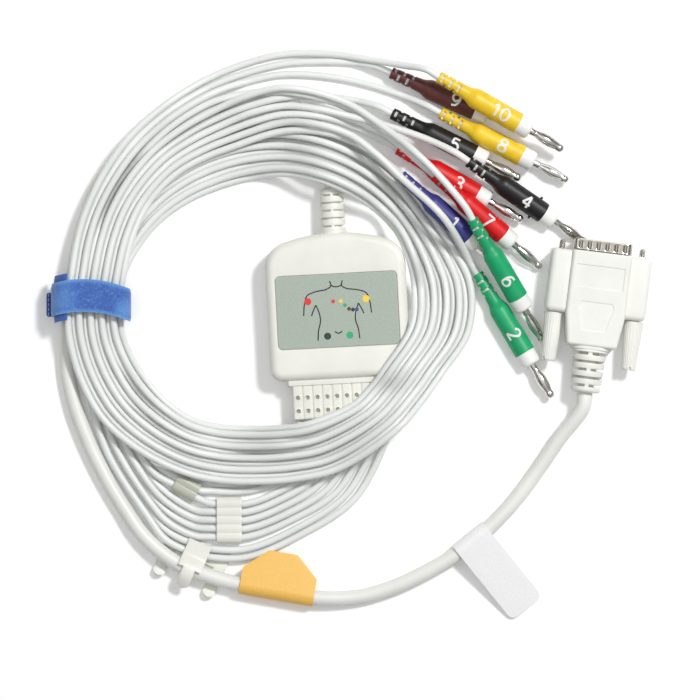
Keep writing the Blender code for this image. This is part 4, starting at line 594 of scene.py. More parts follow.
class Finish:
    """One procedural material round a Principled shader."""

    def __init__(self, name, roughness, metallic=0.0):
        self.material = bpy.data.materials.new(name)
        self.material.use_nodes = True
        self.tree = self.material.node_tree
        self.shader = self.tree.nodes["Principled BSDF"]
        self.set("Roughness", roughness)
        self.set("Metallic", metallic)

    def node(self, kind, settings, inputs, output=0):
        """A node of a kind, with its settings first and then the values or links of its sockets."""
        made = self.tree.nodes.new(kind)
        for key, value in settings.items():
            setattr(made, key, value)
        for key, value in inputs.items():
            self.join(value, made.inputs[key])
        return Socket(self, made.outputs[output])

    def join(self, value, socket):
        """Link an output to a socket, or set the socket's own value."""
        if isinstance(value, Socket):
            self.tree.links.new(value.output, socket)
        else:
            socket.default_value = value

    def set(self, name, value):
        """Give the shader a value or a link."""
        self.join(value, self.shader.inputs[name])

    def noise(self, size, detail=2.0):
        """Noise on object coordinates whose features are about so large, in metres."""
        at = self.node("ShaderNodeTexCoord", {}, {}, "Object")
        return self.node("ShaderNodeTexNoise", {}, {"Vector": at, "Scale": 1 / size, "Detail": detail})

    def mark(self, name):
        """A number that the mesh holds at each point."""
        return self.node("ShaderNodeAttribute", {"attribute_name": name}, {}, "Fac")

    def mix(self, share, first, second):
        """A colour between two."""
        return self.node("ShaderNodeMix", {"data_type": "RGBA"}, {0: share, 6: first, 7: second}, 2)

    def tone(self, noise, low, high, first, second):
        """A colour that goes from one to another, in sRGB, as a noise rises from low to high."""
        return self.mix(noise.clamped(low, high), linear(first), linear(second))

    def grain(self, noise, swing, base, depth):
        """Roughness of a base and a noise times a swing, and that noise as a bump so deep, in metres."""
        self.set("Roughness", noise * swing + base)
        self.raise_surface(noise, depth)

    def raise_surface(self, height, distance):
        """Bump the surface by a height from 0 to 1 that stands for so many metres."""
        self.set("Normal", self.node("ShaderNodeBump", {}, {"Height": height, "Distance": distance}))


def moulded(name, colour, roughness, grain=0.00018, depth=0.00002):
    """Moulded plastic: cloudy tone and gloss, and a fine grain from the mould."""
    finish = Finish(name, roughness)
    cloud = finish.noise(0.011, 3.0)
    finish.set("Base Color", finish.tone(cloud, 0.3, 0.7, shade(colour, 0.97), colour))
    finish.grain(finish.noise(grain), 0.12, roughness - 0.06, depth)
    return finish.material


def cord_jacket(name, colour):
    """Extruded cord jacket: satin, with slow waves in its gloss and a little handling dust."""
    finish = Finish(name, 0.36)
    dust = finish.noise(0.02, 4.0)
    finish.set("Base Color", finish.tone(dust, 0.35, 0.75, shade(colour, 0.965), colour))
    finish.grain(finish.noise(0.0009), 0.14, 0.30, 0.00002)
    return finish.material


def boot_rubber(name, colour, wire):
    """Soft coloured boot: matt moulding, and in its windows the lead's colour, darkened as painted shade."""
    finish = Finish(name, 0.45)
    rubber = finish.tone(finish.noise(0.006, 3.0), 0.3, 0.7, shade(colour, 0.90), colour)
    finish.set("Base Color", finish.mix(finish.mark("wire"), rubber, linear(wire)))
    finish.grain(finish.noise(0.00022), 0.16, 0.36, 0.00002)
    return finish.material


def plated(name, colour, roughness):
    """Bright plating with faint rubbing marks."""
    finish = Finish(name, roughness, 1.0)
    rub = finish.noise(0.0011, 3.0)
    finish.set("Base Color", finish.tone(rub, 0.35, 0.8, colour, shade(colour, 0.86)))
    finish.set("Roughness", rub * 0.16 + (roughness - 0.06))
    finish.raise_surface(finish.noise(0.0003), 0.000008)
    return finish.material


def printed_film(name, colour, speckle):
    """Printed film: an even colour with the fine speckle of its print."""
    finish = Finish(name, 0.5)
    dots = finish.noise(0.00035, 1.0)
    finish.set("Base Color", finish.tone(dots, 0.35, 0.65, shade(colour, 1 - speckle), colour))
    finish.set("Roughness", dots * 0.1 + 0.42)
    finish.raise_surface(finish.noise(0.004), 0.00003)
    return finish.material


def ink(name, colour):
    """Screen print: a thin even coat with a little unevenness in its gloss."""
    finish = Finish(name, 0.45)
    wear = finish.noise(0.0006, 3.0)
    finish.set("Base Color", finish.tone(wear, 0.3, 0.7, shade(colour, 0.93), colour))
    finish.set("Roughness", wear * 0.2 + 0.38)
    return finish.material


def dot_ink(name):
    """Print whose colour the mesh holds as red, green and blue."""
    finish = Finish(name, 0.42)
    shares = {channel.title(): finish.mark(channel) for channel in CHANNELS}
    wear = finish.noise(0.0005)
    tint = finish.node("ShaderNodeCombineColor", {}, shares)
    finish.set("Base Color", finish.mix(wear * 0.10, tint, (0.5, 0.5, 0.5, 1.0)))
    finish.set("Roughness", wear * 0.2 + 0.35)
    return finish.material


def loop_fabric(name, colour, light, dark):
    """Loop side of the tie: brushed loops over a rib weave, paler along the edges and where it is rubbed."""
    finish = Finish(name, 0.85)
    loops = finish.noise(0.00045, 3.0)
    ribs = (finish.mark("run") * (FULL_TURN / 0.0009)).sine() * 0.5 + 0.5
    picks = (finish.mark("across") * (FULL_TURN / 0.0011)).sine() * 0.5 + 0.5
    pile = loops.clamped(0.3, 0.7) * 0.75 + ribs * 0.25
    body = finish.mix(pile, linear(dark), linear(colour))
    rubbed = finish.noise(0.016).clamped(0.42, 0.66) * (loops * 0.4 + 0.3)
    tufts = finish.noise(0.0010, 4.0).clamped(0.50, 0.72) * 0.45
    for share in (rubbed, tufts, finish.mark("edge") * 0.75):
        body = finish.mix(share, body, linear(light))
    finish.set("Base Color", body)
    finish.raise_surface(loops * 0.7 + ribs * 0.2 + picks * 0.1, 0.00022)
    finish.set("Roughness", loops * 0.1 + 0.8)
    finish.set("Sheen Weight", 0.35)
    finish.set("Sheen Roughness", 0.5)
    return finish.material


# Meshes from grids

class Form:
    """Points and faces of one piece while it is worked out, with named numbers at the points."""

    def __init__(self, marks=()):
        self.points = []
        self.faces = []
        self.marks = {name: [] for name in marks}
        self.count = 0

    def add(self, grid, around=True, ends=True, along=False, **marks):
        """Lay quads over a grid of points (rows, columns, 3).

        around joins the last column to the first, along the last row to the first, and ends closes the first
        and last row with a fan to their middle. Faces turn outwards: where the solid's volume comes out
        negative, all of them are reversed.
        """
        rows, columns = grid.shape[:2]
        number = np.arange(rows * columns).reshape(rows, columns)
        if around:
            number = np.hstack([number, number[:, :1]])
        if along:
            number = np.vstack([number, number[:1]])
        quads = np.stack([number[:-1, :-1], number[:-1, 1:], number[1:, 1:], number[1:, :-1]], axis=-1)
        quads = quads.reshape(-1, 4)
        faces = [quads]
        points = grid.reshape(-1, 3)
        extra = []
        if ends:
            points = np.vstack([points, grid[0].mean(axis=0), grid[-1].mean(axis=0)])
            first = np.full(len(number[0]) - 1, rows * columns)
            faces.append(np.stack([number[0, 1:], number[0, :-1], first], axis=-1))
            faces.append(np.stack([number[-1, :-1], number[-1, 1:], first + 1], axis=-1))
            extra = [0, -1]
        corners = np.vstack([quads[:, [0, 1, 2]], quads[:, [0, 2, 3]], *faces[1:]])
        a, b, c = (points[corners[:, k]] for k in range(3))
        if np.einsum("ij,ij->", a, np.cross(b, c)) < 0:
            faces = [face[:, ::-1] for face in faces]
        self.points.append(points)
        self.faces += [corner for face in faces for corner in (face + self.count).tolist()]
        self.count += len(points)
        for name, values in self.marks.items():
            value = np.broadcast_to(marks.get(name, 0.0), (rows, columns))
            values.append(np.concatenate([value.reshape(-1), [value[row].mean() for row in extra]]))

    def mesh(self, name, material, sharp=35):
        """Make an object at the origin, shaded smooth up to an angle."""
        mesh = bpy.data.meshes.new(name)
        mesh.from_pydata(np.vstack(self.points).tolist(), [], self.faces)
        for mark, values in self.marks.items():
            held = mesh.attributes.new(mark, "FLOAT", "POINT")
            held.data.foreach_set("value", np.concatenate(values).astype(np.float32))
        mesh.materials.append(material)
        mesh.shade_smooth()
        mesh.set_sharp_from_angle(angle=math.radians(sharp))
        piece = bpy.data.objects.new(name, mesh)
        bpy.context.scene.collection.objects.link(piece)
        return piece

    def build(self, name, material, body=SET, slot=None, replaces=(), sharp=35):
        """Make the piece and let it ride on a body, in place of the solids that it stands for."""
        piece = self.mesh(name, material, sharp)
        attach(piece, body)
        if replaces:
            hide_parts(*replaces)
        return piece


def placed(points, place):
    """Points moved by a 4 by 4 placing."""
    return points @ place[:3, :3].T + place[:3, 3]


def solid(name, material, place, grids, **how):
    """One piece of closed grids, all of them moved by one placing."""
    form = Form()
    for grid in grids:
        form.add(placed(grid, place))
    form.build(name, material, **how)


def smooth_line(points, steps):
    """A smooth line through points, so many steps in each stretch.

    Each stretch is a cubic. The slope at a point is the mean of the slopes on both sides, each weighted by
    the root of the other side's length.
    """
    points = np.asarray(points, float)
    way = np.diff(points, axis=0)
    roots = np.sqrt(np.linalg.norm(way, axis=1))[:, None]
    rates = way / roots
    inner = (rates[:-1] * roots[1:] + rates[1:] * roots[:-1]) / (roots[:-1] + roots[1:])
    slopes = np.vstack([rates[:1], inner, rates[-1:]])
    t = (np.arange(steps) / steps)[None, :, None]
    start = points[:-1, None] * (2 * t ** 3 - 3 * t ** 2 + 1)
    end = points[1:, None] * (3 * t ** 2 - 2 * t ** 3)
    leave = (slopes[:-1] * roots)[:, None] * (t ** 3 - 2 * t ** 2 + t)
    arrive = (slopes[1:] * roots)[:, None] * (t ** 3 - t ** 2)
    return np.vstack([(start + end + leave + arrive).reshape(-1, points.shape[1]), points[-1:]])


def even(points, count, closed=False):
    """The same line read at even steps; closed returns to its start and leaves out the last reading."""
    points = np.asarray(points, float)
    if closed:
        points = np.vstack([points, points[:1]])
    run = run_along(points)
    at = np.linspace(0.0, run[-1], count, endpoint=not closed)
    return np.column_stack([np.interp(at, run, points[:, axis]) for axis in range(points.shape[1])])


def tube(line, radius, sides):
    """A circle carried along a line, square to it and level with the table."""
    ahead = headings(line)
    side = unit(np.cross((0.0, 0.0, 1.0), ahead))
    up = np.cross(ahead, side)
    angle = full_circle(sides)[None, :, None]
    return line[:, None] + radius * (np.cos(angle) * side[:, None] + np.sin(angle) * up[:, None])


def spun(x, radius, sides):
    """Radii turned about local X; radius is one number a station or one for each station and side."""
    angle = full_circle(sides)[None, :]
    radius = np.asarray(radius, float)
    if radius.ndim == 1:
        radius = radius[:, None]
    x = np.broadcast_to(np.asarray(x, float)[:, None], (len(x), sides))
    return np.stack([x, radius * np.cos(angle), radius * np.sin(angle)], axis=-1)


def lathe(stations, sides):
    """Stations (x, radius) turned about local X."""
    return spun(*np.array(stations).T, sides)


def arc(cx, cy, r, start, end, steps=12):
    """Points on an arc, in degrees, both ends included."""
    angle = np.radians(np.linspace(start, end, steps + 1))
    return np.column_stack([cx + r * np.cos(angle), cy + r * np.sin(angle)])


def rounded(half_x, half_y, r, steps=8):
    """A rectangle with round corners about the middle, anticlockwise."""
    x, y = half_x - r, half_y - r
    return np.vstack([arc(x, -y, r, -90, 0, steps), arc(x, y, r, 0, 90, steps),
                      arc(-x, y, r, 90, 180, steps), arc(-x, -y, r, 180, 270, steps)])


def level(outline, z):
    """An outline at one height."""
    return np.column_stack([outline, np.full(len(outline), z)])


def stack(rows):
    """Outlines and their heights, as the rows of a grid."""
    return np.array([level(outline, z) for outline, z in rows])


def slab(half_x, half_y, corner, low, high, edge, steps=4):
    """A block with round corners and round rims: its outline shrinks by a quarter circle at both ends."""
    turn = quarter_circle(steps)
    inset = edge * (1 - np.sin(turn))
    drop = edge * (1 - np.cos(turn))
    rows = [(i, low + d) for i, d in zip(inset, drop)]
    rows += [(i, high - d) for i, d in zip(inset[::-1], drop[::-1])]
    least = corner * LEAST_CORNER
    return stack((rounded(half_x - i, half_y - i, max(corner - i, least)), z) for i, z in rows)


def strap(line, half_width, thick, across=(0.0, 1.0, 0.0), closed=False):
    """A flat band carried along a line: a thin oblong with soft edges that keeps one direction across.

    The second result is each column's place across the band, from -1 to 1.
    """
    across = np.broadcast_to(across, line.shape)
    up = np.cross(headings(line, closed), across)
    half_width = np.broadcast_to(half_width, len(line))[:, None, None]
    rims = [0, STRAP_COLUMNS - 1, STRAP_COLUMNS, -1]
    face = np.linspace(-1, 1, STRAP_COLUMNS)
    soft = np.concatenate([face, face[::-1]]) * STRAP_FACE
    soft[rims] = [-1, 1, 1, -1]
    high = np.repeat((0.5, -0.5), STRAP_COLUMNS)
    high[rims] *= STRAP_RIM
    grid = line[:, None] + half_width * soft[None, :, None] * across[:, None]
    return grid + thick * high[None, :, None] * up[:, None], soft


def stand(grid):
    """Turn a grid drawn flat in XY upright, so that its z runs along +Y and its y runs up."""
    return np.stack([grid[..., 0], grid[..., 2], grid[..., 1]], axis=-1)


def along_y(grid):
    """Turn a grid spun about X so that it runs along +Y."""
    return np.stack([-grid[..., 1], grid[..., 0], grid[..., 2]], axis=-1)


# Sizes and colours that a user would change

def shown(name, text, default):
    """A colour setting in sRGB."""
    return FloatVectorProperty(name=name, description=text, default=default, size=3, min=0.0, max=1.0,
                               subtype="COLOR_GAMMA")


def measure(name, text, default, kind="LENGTH"):
    """A size setting, in metres unless another unit is named."""
    return FloatProperty(name=name, description=text, default=default, unit=kind)


class CableSizes(bpy.types.PropertyGroup):
    """Sizes of the cords and of the camera's view."""

    lead_diameter: measure("Lead diameter", "Across one lead", 0.0029)
    trunk_diameter: measure("Trunk diameter", "Across the trunk", 0.0062)
    cord_steps: IntProperty(name="Cord steps", description="Steps in each stretch of a cord", default=8,
                            min=2)
    cord_sides: IntProperty(name="Cord sides", description="Sides round a cord", default=16, min=6)
    number_height: measure("Number height", "Height of the numbers on the boots", 0.0055)
    view_width: measure("View width", "Width of the table that the camera sees", 0.2905)
    view_height: measure("View height", "Height of the camera over the table", 1.6)
    key_power: measure("Key power", "Power of the main lamp", 22.0, "POWER")


class CableColours(bpy.types.PropertyGroup):
    """Colours of the pieces, in sRGB."""

    lead: shown("Lead", "Jacket of the leads", (0.925, 0.935, 0.925))
    trunk: shown("Trunk", "Jacket of the trunk", (0.935, 0.937, 0.915))
    shell: shown("Junction box", "Shells, block and clip", (0.93, 0.93, 0.895))
    hood: shown("Connector", "Hood, relief and thumbscrews", (0.94, 0.94, 0.915))
    label: shown("Label", "Film on the junction box", (0.69, 0.735, 0.685))
    collar: shown("Collar", "Collars of the plugs", (0.955, 0.955, 0.94))
    blue: shown("Blue", "Blue boots", (0.22, 0.24, 0.55))
    green: shown("Green", "Green boots", (0.02, 0.67, 0.425))
    red: shown("Red", "Red boots", (0.89, 0.05, 0.065))
    black: shown("Black", "Black boots", (0.065, 0.06, 0.065))
    yellow: shown("Yellow", "Yellow boots", (0.985, 0.825, 0.15))
    brown: shown("Brown", "Brown boots", (0.37, 0.16, 0.145))
    tie: shown("Tie", "Loop side of the tie", (0.27, 0.44, 0.78))
    orange: shown("Orange tag", "Film of the orange tag", (0.97, 0.765, 0.37))
    white_tag: shown("White tag", "Film of the white tag", (0.97, 0.97, 0.97))
    grey: shown("Grey keeper", "Plastic of the small keeper", (0.74, 0.75, 0.69))


class Step:
    """What every step of the build shares: the settings at hand."""

    @property
    def sizes(self):
        """Sizes that the user set."""
        return bpy.context.scene.cable_sizes

    @property
    def colours(self):
        """Colours that the user set."""
        return bpy.context.scene.cable_colours


class CABLE_OT_stage(Step, bpy.types.Operator):
    """Pale table, soft lamps and a camera that looks straight down"""

    bl_idname = "cable.stage"
    bl_label = "Stage"

    def execute(self, context):
        """Make the table, the light and the camera."""
        scene = context.scene
        scene.view_settings.view_transform = "Standard"
        self.table()
        scene.world = self.sky()
        for name, place, size, share in LAMPS:
            lamp = bpy.data.lights.new(name, "AREA")
            lamp.energy = self.sizes.key_power * share
            lamp.size = size
            self.hang(scene, lamp, place).rotation_euler = Vector(place).to_track_quat("Z", "Y").to_euler()
        camera = bpy.data.cameras.new("camera")
        camera.sensor_width = SENSOR_WIDTH
        camera.lens = camera.sensor_width * self.sizes.view_height / self.sizes.view_width
        scene.camera = self.hang(scene, camera, (*VIEW_MIDDLE, self.sizes.view_height))
        return {"FINISHED"}

    def hang(self, scene, data, place):
        """An object for a lamp or a camera, at a place."""
        holder = bpy.data.objects.new(data.name, data)
        holder.location = place
        scene.collection.objects.link(holder)
        return holder

    def table(self):
        """A flat square under the object; what the camera and mirrors see of it is lifted to white."""
        span = np.linspace(-TABLE_HALF, TABLE_HALF, TABLE_POINTS)
        x, y = np.meshgrid(span, span)
        form = Form()
        form.add(np.stack([x, y, np.full_like(x, -TABLE_DROP)], axis=-1), around=False, ends=False)
        finish = Finish("table_white", 0.9)
        finish.set("Base Color", finish.mix(finish.noise(0.4), *(linear(tone) for tone in TABLE_TONES)))
        seen = [finish.node("ShaderNodeLightPath", {}, {}, ray) for ray in ("Is Camera Ray", "Is Glossy Ray")]
        finish.set("Emission Color", seen[0] + seen[1])
        finish.set("Emission Strength", TABLE_LIFT)
        form.mesh("table", finish.material)

    def sky(self):
        """A world that is bright overhead and dim at its foot: a power of the height sets its strength."""
        world = bpy.data.worlds.new("studio")
        world.use_nodes = True
        nodes, links = world.node_tree.nodes, world.node_tree.links
        axes = nodes.new("ShaderNodeSeparateXYZ")
        links.new(nodes.new("ShaderNodeTexCoord").outputs["Generated"], axes.inputs[0])
        rise = nodes.new("ShaderNodeMath")
        rise.operation = "POWER"
        rise.inputs[1].default_value = SKY_RISE
        rise.use_clamp = True
        links.new(axes.outputs["Z"], rise.inputs[0])
        strength = nodes.new("ShaderNodeMapRange")
        strength.inputs["To Min"].default_value = SKY_FOOT
        strength.inputs["To Max"].default_value = SKY_TOP
        links.new(rise.outputs[0], strength.inputs["Value"])
        links.new(strength.outputs[0], nodes["Background"].inputs["Strength"])
        nodes["Background"].inputs["Color"].default_value = (1.0, 1.0, 1.0, 1.0)
        return world


# Plain numerals, as strokes in a box of width 0.6 and height 1; the step is from one to the next
NUMERAL_WIDTH = 0.6
NUMERAL_STEP = 0.75
NUMERAL_HALF = 0.085
STROKES = {
    "0": (((0.3, 0.0), (0.05, 0.2), (0.0, 0.5), (0.05, 0.8), (0.3, 1.0), (0.55, 0.8), (0.6, 0.5),
           (0.55, 0.2), (0.3, 0.0)),),
    "1": (((0.1, 0.78), (0.35, 1.0)), ((0.35, 1.0), (0.35, 0.0))),
    "2": (((0.02, 0.75), (0.15, 0.95), (0.4, 0.98), (0.58, 0.75), (0.45, 0.45), (0.02, 0.0)),
          ((0.02, 0.0), (0.6, 0.0))),
    "3": (((0.02, 0.85), (0.28, 1.0), (0.55, 0.8), (0.42, 0.58), (0.22, 0.53)),
          ((0.22, 0.53), (0.48, 0.47), (0.6, 0.25), (0.35, 0.0), (0.0, 0.12))),
    "4": (((0.45, 0.0), (0.45, 1.0)), ((0.45, 1.0), (0.0, 0.3)), ((0.0, 0.3), (0.62, 0.3))),
    "5": (((0.52, 1.0), (0.08, 1.0)), ((0.08, 1.0), (0.04, 0.55)),
          ((0.04, 0.55), (0.32, 0.64), (0.58, 0.42), (0.5, 0.1), (0.25, 0.0), (0.0, 0.1))),
    "6": (((0.5, 0.95), (0.2, 0.85), (0.02, 0.45), (0.1, 0.08), (0.32, 0.0), (0.56, 0.15), (0.56, 0.42),
           (0.32, 0.58), (0.06, 0.4)),),
    "7": (((0.0, 1.0), (0.6, 1.0)), ((0.6, 1.0), (0.35, 0.5), (0.22, 0.0))),
    "8": (((0.3, 0.53), (0.08, 0.65), (0.08, 0.88), (0.3, 1.0), (0.52, 0.88), (0.52, 0.65), (0.3, 0.53),
           (0.04, 0.38), (0.04, 0.12), (0.3, 0.0), (0.56, 0.12), (0.56, 0.38), (0.3, 0.53)),),
    "9": (((0.54, 0.6), (0.28, 0.42), (0.04, 0.58), (0.04, 0.85), (0.28, 1.0), (0.5, 0.92), (0.58, 0.55),
           (0.4, 0.15), (0.1, 0.05)),),
}


def stroke_band(points, half_width):
    """A flat stroke through points: the edges of a smooth line's upper face, and of its lower face back."""
    line = smooth_line(points, STROKE_STEPS) if len(points) > 2 else even(points, STROKE_POINTS)
    ahead = headings(line)
    side = np.column_stack([-ahead[:, 1], ahead[:, 0]]) * half_width
    return np.stack([line - side, line + side, line + side, line - side], axis=1)


def boot_radius(x):
    """The boot's radius at a distance from its tail, both in metres."""
    place, size = np.array(BOOT_STATIONS).T * MM
    return np.interp(x, place, size)


def boot_grid(turn):
    """The boot: stations turned about X, with two windows to a ring that go down to the lead.

    The rings' windows are turned by a quarter from one to the next, and all of them by turn. The second
    result is 1 on window floors.
    """
    dense = np.linspace(0.0, BOOT_LENGTH, BOOT_ROWS)
    rims = [MM * w + step for w in BOOT_WINDOWS
            for step in (-WINDOW_SLOPE, 0.0, BOOT_WINDOW, BOOT_WINDOW + WINDOW_SLOPE)]
    x = np.unique(np.round(np.concatenate([dense, rims, np.array(BOOT_STATIONS)[:, 0] * MM]), 6))
    angle = full_circle(BOOT_SIDES)[None, :]
    sunk = np.zeros((len(x), BOOT_SIDES))
    for ring, start in enumerate(np.array(BOOT_WINDOWS) * MM):
        open_here = bump(x, start, start + BOOT_WINDOW, WINDOW_SLOPE)[:, None]
        window = ease(*WINDOW_SINES, np.abs(np.sin(angle + turn + ring * math.pi / 2)))
        sunk = np.maximum(sunk, open_here * window)
    radius = boot_radius(x)[:, None]
    radius = radius + (np.minimum(WIRE_SHOWN, radius) - radius) * sunk
    return spun(x, radius, BOOT_SIDES), (sunk > WINDOW_FLOOR).astype(float)


def leaf_grid(start):
    """One spring leaf: a thin bowed strip on a cylinder whose radius swells in the middle."""
    share = np.linspace(0, 1, LEAF_ROWS)
    x = LEAF_START + share * (PIN_LENGTH - LEAF_SHORT)
    bowed = np.clip(share * (1 + 2 * LEAF_MARGIN) - LEAF_MARGIN, 0, 1)
    bow = np.sin(math.pi * bowed) ** LEAF_POWER
    radius = LEAF_R + LEAF_RISE * share + LEAF_BOW * bow
    spread = LEAF_SPREAD * (1 - LEAF_TAPER + LEAF_TAPER * np.sin(math.pi * share))
    face = np.linspace(-1, 1, LEAF_COLUMNS)
    angle = start + spread[:, None] * np.concatenate([face, face[::-1]])[None] / 2
    r = radius[:, None] - np.repeat((0.0, LEAF_THICK), len(face))[None]
    return np.stack([np.broadcast_to(x[:, None], r.shape), r * np.cos(angle), r * np.sin(angle)], axis=-1)


class CABLE_OT_plugs(Step, bpy.types.Operator):
    """Ten banana plugs: coloured boots with plain numbers, pale collars and spring-leaf pins"""

    bl_idname = "cable.plugs"
    bl_label = "Plugs"

    def execute(self, context):
        """Lay each plug where its solids lie."""
        # The lead's colour, darkened as painted shade, for the floors of the boots' windows
        wire = shade(self.colours.lead, WINDOW_PAINTED_SHADE)
        rubber = {colour: boot_rubber("boot_" + colour, getattr(self.colours, colour), wire)
                  for colour in sorted({row[1] for row in PLUGS})}
        collar = moulded("collar_white", self.colours.collar, 0.35)
        metal = plated("pin_plating", (0.90, 0.89, 0.87), 0.14)
        white = ink("number_white", (0.93, 0.93, 0.92))
        for number, colour, tail, heading, pitch, windows in PLUGS:
            place = turned([c * MM for c in tail], math.radians(heading), math.radians(pitch))
            self.boot(number, colour, place, math.radians(windows), rubber[colour])
            self.number(number, place, white)
            self.collar(number, place, collar)
            self.pin(number, place, metal)
        return {"FINISHED"}

    def boot(self, number, colour, place, windows, material):
        """The boot, its windows marked for the lead's colour; one black boot has two side pegs."""
        form = Form(("wire",))
        grid, wire = boot_grid(windows)
        form.add(placed(grid, place), wire=wire)
        if number == PEGGED:
            for side in (-1, 1):
                peg = lathe(PEG_STATIONS, PEG_SIDES)
                across = np.stack([peg[..., 1] + PEG_AT, side * peg[..., 0], peg[..., 2]], axis=-1)
                form.add(placed(across, place))
        form.build("boot_" + number, material, slot="boot_" + colour, replaces=("plug_boot_" + number,))

    def number(self, number, place, material):
        """The plug's number as flat strokes wrapped on the boot: distance round it becomes an angle."""
        height = self.sizes.number_height
        lift = np.array([INK_LIFT, INK_LIFT, -INK_SINK, -INK_SINK])[None]
        grids = []
        text = str(int(number))
        for slot, digit in enumerate(text):
            shift = NUMERAL_STEP * (slot - (len(text) - 1) / 2) - NUMERAL_WIDTH / 2
            for stroke in STROKES[digit]:
                flat = (np.array(stroke) + (shift, -0.5)) * height
                edges = stroke_band(flat, height * NUMERAL_HALF)
                x = NUMBER_AT + edges[..., 0]
                angle = math.pi / 2 - edges[..., 1] / boot_radius(x)
                r = boot_radius(x) + lift
                grids.append(np.stack([x, r * np.cos(angle), r * np.sin(angle)], axis=-1))
        solid("number_" + number, material, place, grids, sharp=60)

    def collar(self, number, place, material):
        """The collar: a short cylinder with a round front rim, butted to the boot."""
        turn = quarter_circle(5)
        root = [BOOT_LENGTH - COLLAR_SINK, BOOT_LENGTH, BOOT_LENGTH]
        x = np.concatenate([root, COLLAR_FRONT - COLLAR_RIM + COLLAR_RIM * np.sin(turn), [COLLAR_FRONT]])
        rim = COLLAR_R - COLLAR_RIM + COLLAR_RIM * np.cos(turn)
        r = np.concatenate([[COLLAR_ROOT_R, COLLAR_ROOT_R, COLLAR_R], rim, [COLLAR_BORE]])
        solid("collar_" + number, material, place, [spun(x, r, COLLAR_SIDES)], slot="collar_white",
              replaces=("plug_collar_" + number,))

    def pin(self, number, place, metal):
        """The pin: a thin core with a sleeve and a round nose, and bowed leaves round it."""
        turn = np.radians(np.linspace(0, NOSE_TURN, NOSE_ROWS))
        nose = np.column_stack([np.sin(turn), np.cos(turn)]) * PIN_NOSE
        stations = np.vstack([PIN_CORE, np.vstack([PIN_NECK, nose]) + (PIN_LENGTH - PIN_NOSE, 0.0)])
        twist = int(number) * LEAF_TWIST
        leaves = [leaf_grid(twist + leaf * FULL_TURN / LEAVES) for leaf in range(LEAVES)]
        grids = [grid + (PIN_ROOT, 0.0, 0.0) for grid in (lathe(stations, PIN_SIDES), *leaves)]
        solid("pin_" + number, metal, place, grids, slot="plated_metal", replaces=("plug_pin_" + number,))


class CABLE_OT_cords(Step, bpy.types.Operator):
    """Ten leads and the trunk, as round tubes along their routes"""

    bl_idname = "cable.cords"
    bl_label = "Leads and trunk"

    def execute(self, context):
        jacket = cord_jacket("lead_jacket", self.colours.lead)
        for (number, *_), route in zip(PLUGS, LEAD_ROUTES):
            plug = [kind + "_" + number for kind in ("boot", "number", "collar", "pin")]
            self.cord("lead_" + number, route, self.sizes.lead_diameter, jacket, "lead_jacket",
                      "lead_wire_" + number, "plug", plug)
        skin = cord_jacket("trunk_jacket", self.colours.trunk)
        self.cord("trunk", TRUNK_ROUTE, self.sizes.trunk_diameter, skin, "trunk_jacket", "trunk_cable",
                  "object", [row[0] for row in TAGS])
        return {"FINISHED"}

    def cord(self, name, route, diameter, material, slot, node, far_end, pieces):
        """A smooth line through the route, sunk two steps into what holds its ends, and a tube round it."""
        line = smooth_line(np.array(route) * TENTH, self.sizes.cord_steps)
        line[:, 2] = np.maximum(line[:, 2], diameter / 2)
        ends = [line[0] + (line[0] - line[1]) * 2, line[-1] + (line[-1] - line[-2]) * 2]
        line = np.vstack([ends[:1], line, ends[1:]])
        form = Form()
        form.add(tube(line, diameter / 2, self.sizes.cord_sides))
        piece = form.build(name, material, slot=slot, replaces=(node,))


# Junction box

def yoke_outline(inset):
    """The junction box from above: a flat foot, straight sides, round shoulders and a shallow arch."""
    side = YOKE_HALF - YOKE_SHOULDER_R
    rise = math.sqrt((YOKE_ARCH_R - YOKE_SHOULDER_R) ** 2 - side ** 2)
    arch_y = YOKE_TOP - YOKE_ARCH_R
    lean = math.degrees(math.atan2(rise, side))
    corner_x, corner_y = YOKE_HALF - YOKE_CORNER_R, YOKE_CORNER_R - YOKE_BOTTOM
    r, shoulder = YOKE_CORNER_R - inset, YOKE_SHOULDER_R - inset
    outline = np.vstack([arc(corner_x, corner_y, r, -90, 0), arc(side, arch_y + rise, shoulder, 0, lean),
                         arc(0, arch_y, YOKE_ARCH_R - inset, lean, 180 - lean, ARCH_STEPS)[1:-1],
                         arc(-side, arch_y + rise, shoulder, 180 - lean, 180),
                         arc(-corner_x, corner_y, r, 180, 270)])
    return even(outline, BOX_POINTS, closed=True)


def label_outline(grow):
    """The label's rectangle, grown by a clearance."""
    outline = rounded(LABEL_HALF[0] + grow, LABEL_HALF[1] + grow, LABEL_CORNER + grow)
    return even(outline + LABEL_AT, LABEL_POINTS, closed=True)


def bearings():
    """Directions from the label's middle that meet every bend of the box and of the label."""
    box = even(yoke_outline(0.0), BEARINGS, closed=True)
    away = np.vstack([box, rounded(*LABEL_HALF, LABEL_CORNER) + LABEL_AT]) - LABEL_AT
    return np.unique(np.round(np.arctan2(away[:, 1], away[:, 0]), 4))


def about_label(outline):
    """An outline read in those directions."""
    away = outline - LABEL_AT
    angle = bearings()
    far = np.interp(angle, np.arctan2(away[:, 1], away[:, 0]), np.hypot(*away.T), period=FULL_TURN)
    return np.column_stack([LABEL_AT[0] + far * np.cos(angle), LABEL_AT[1] + far * np.sin(angle)])


def flat_stroke(points, half_width, low, high):
    """A stroke on the label, in millimetres from its middle, as a thin strip between two heights."""
    edges = stroke_band(np.array(points) * MM + LABEL_AT, half_width)
    z = np.broadcast_to(np.array([high, high, low, low]), edges.shape[:2])
    return np.concatenate([edges, z[..., None]], axis=-1)


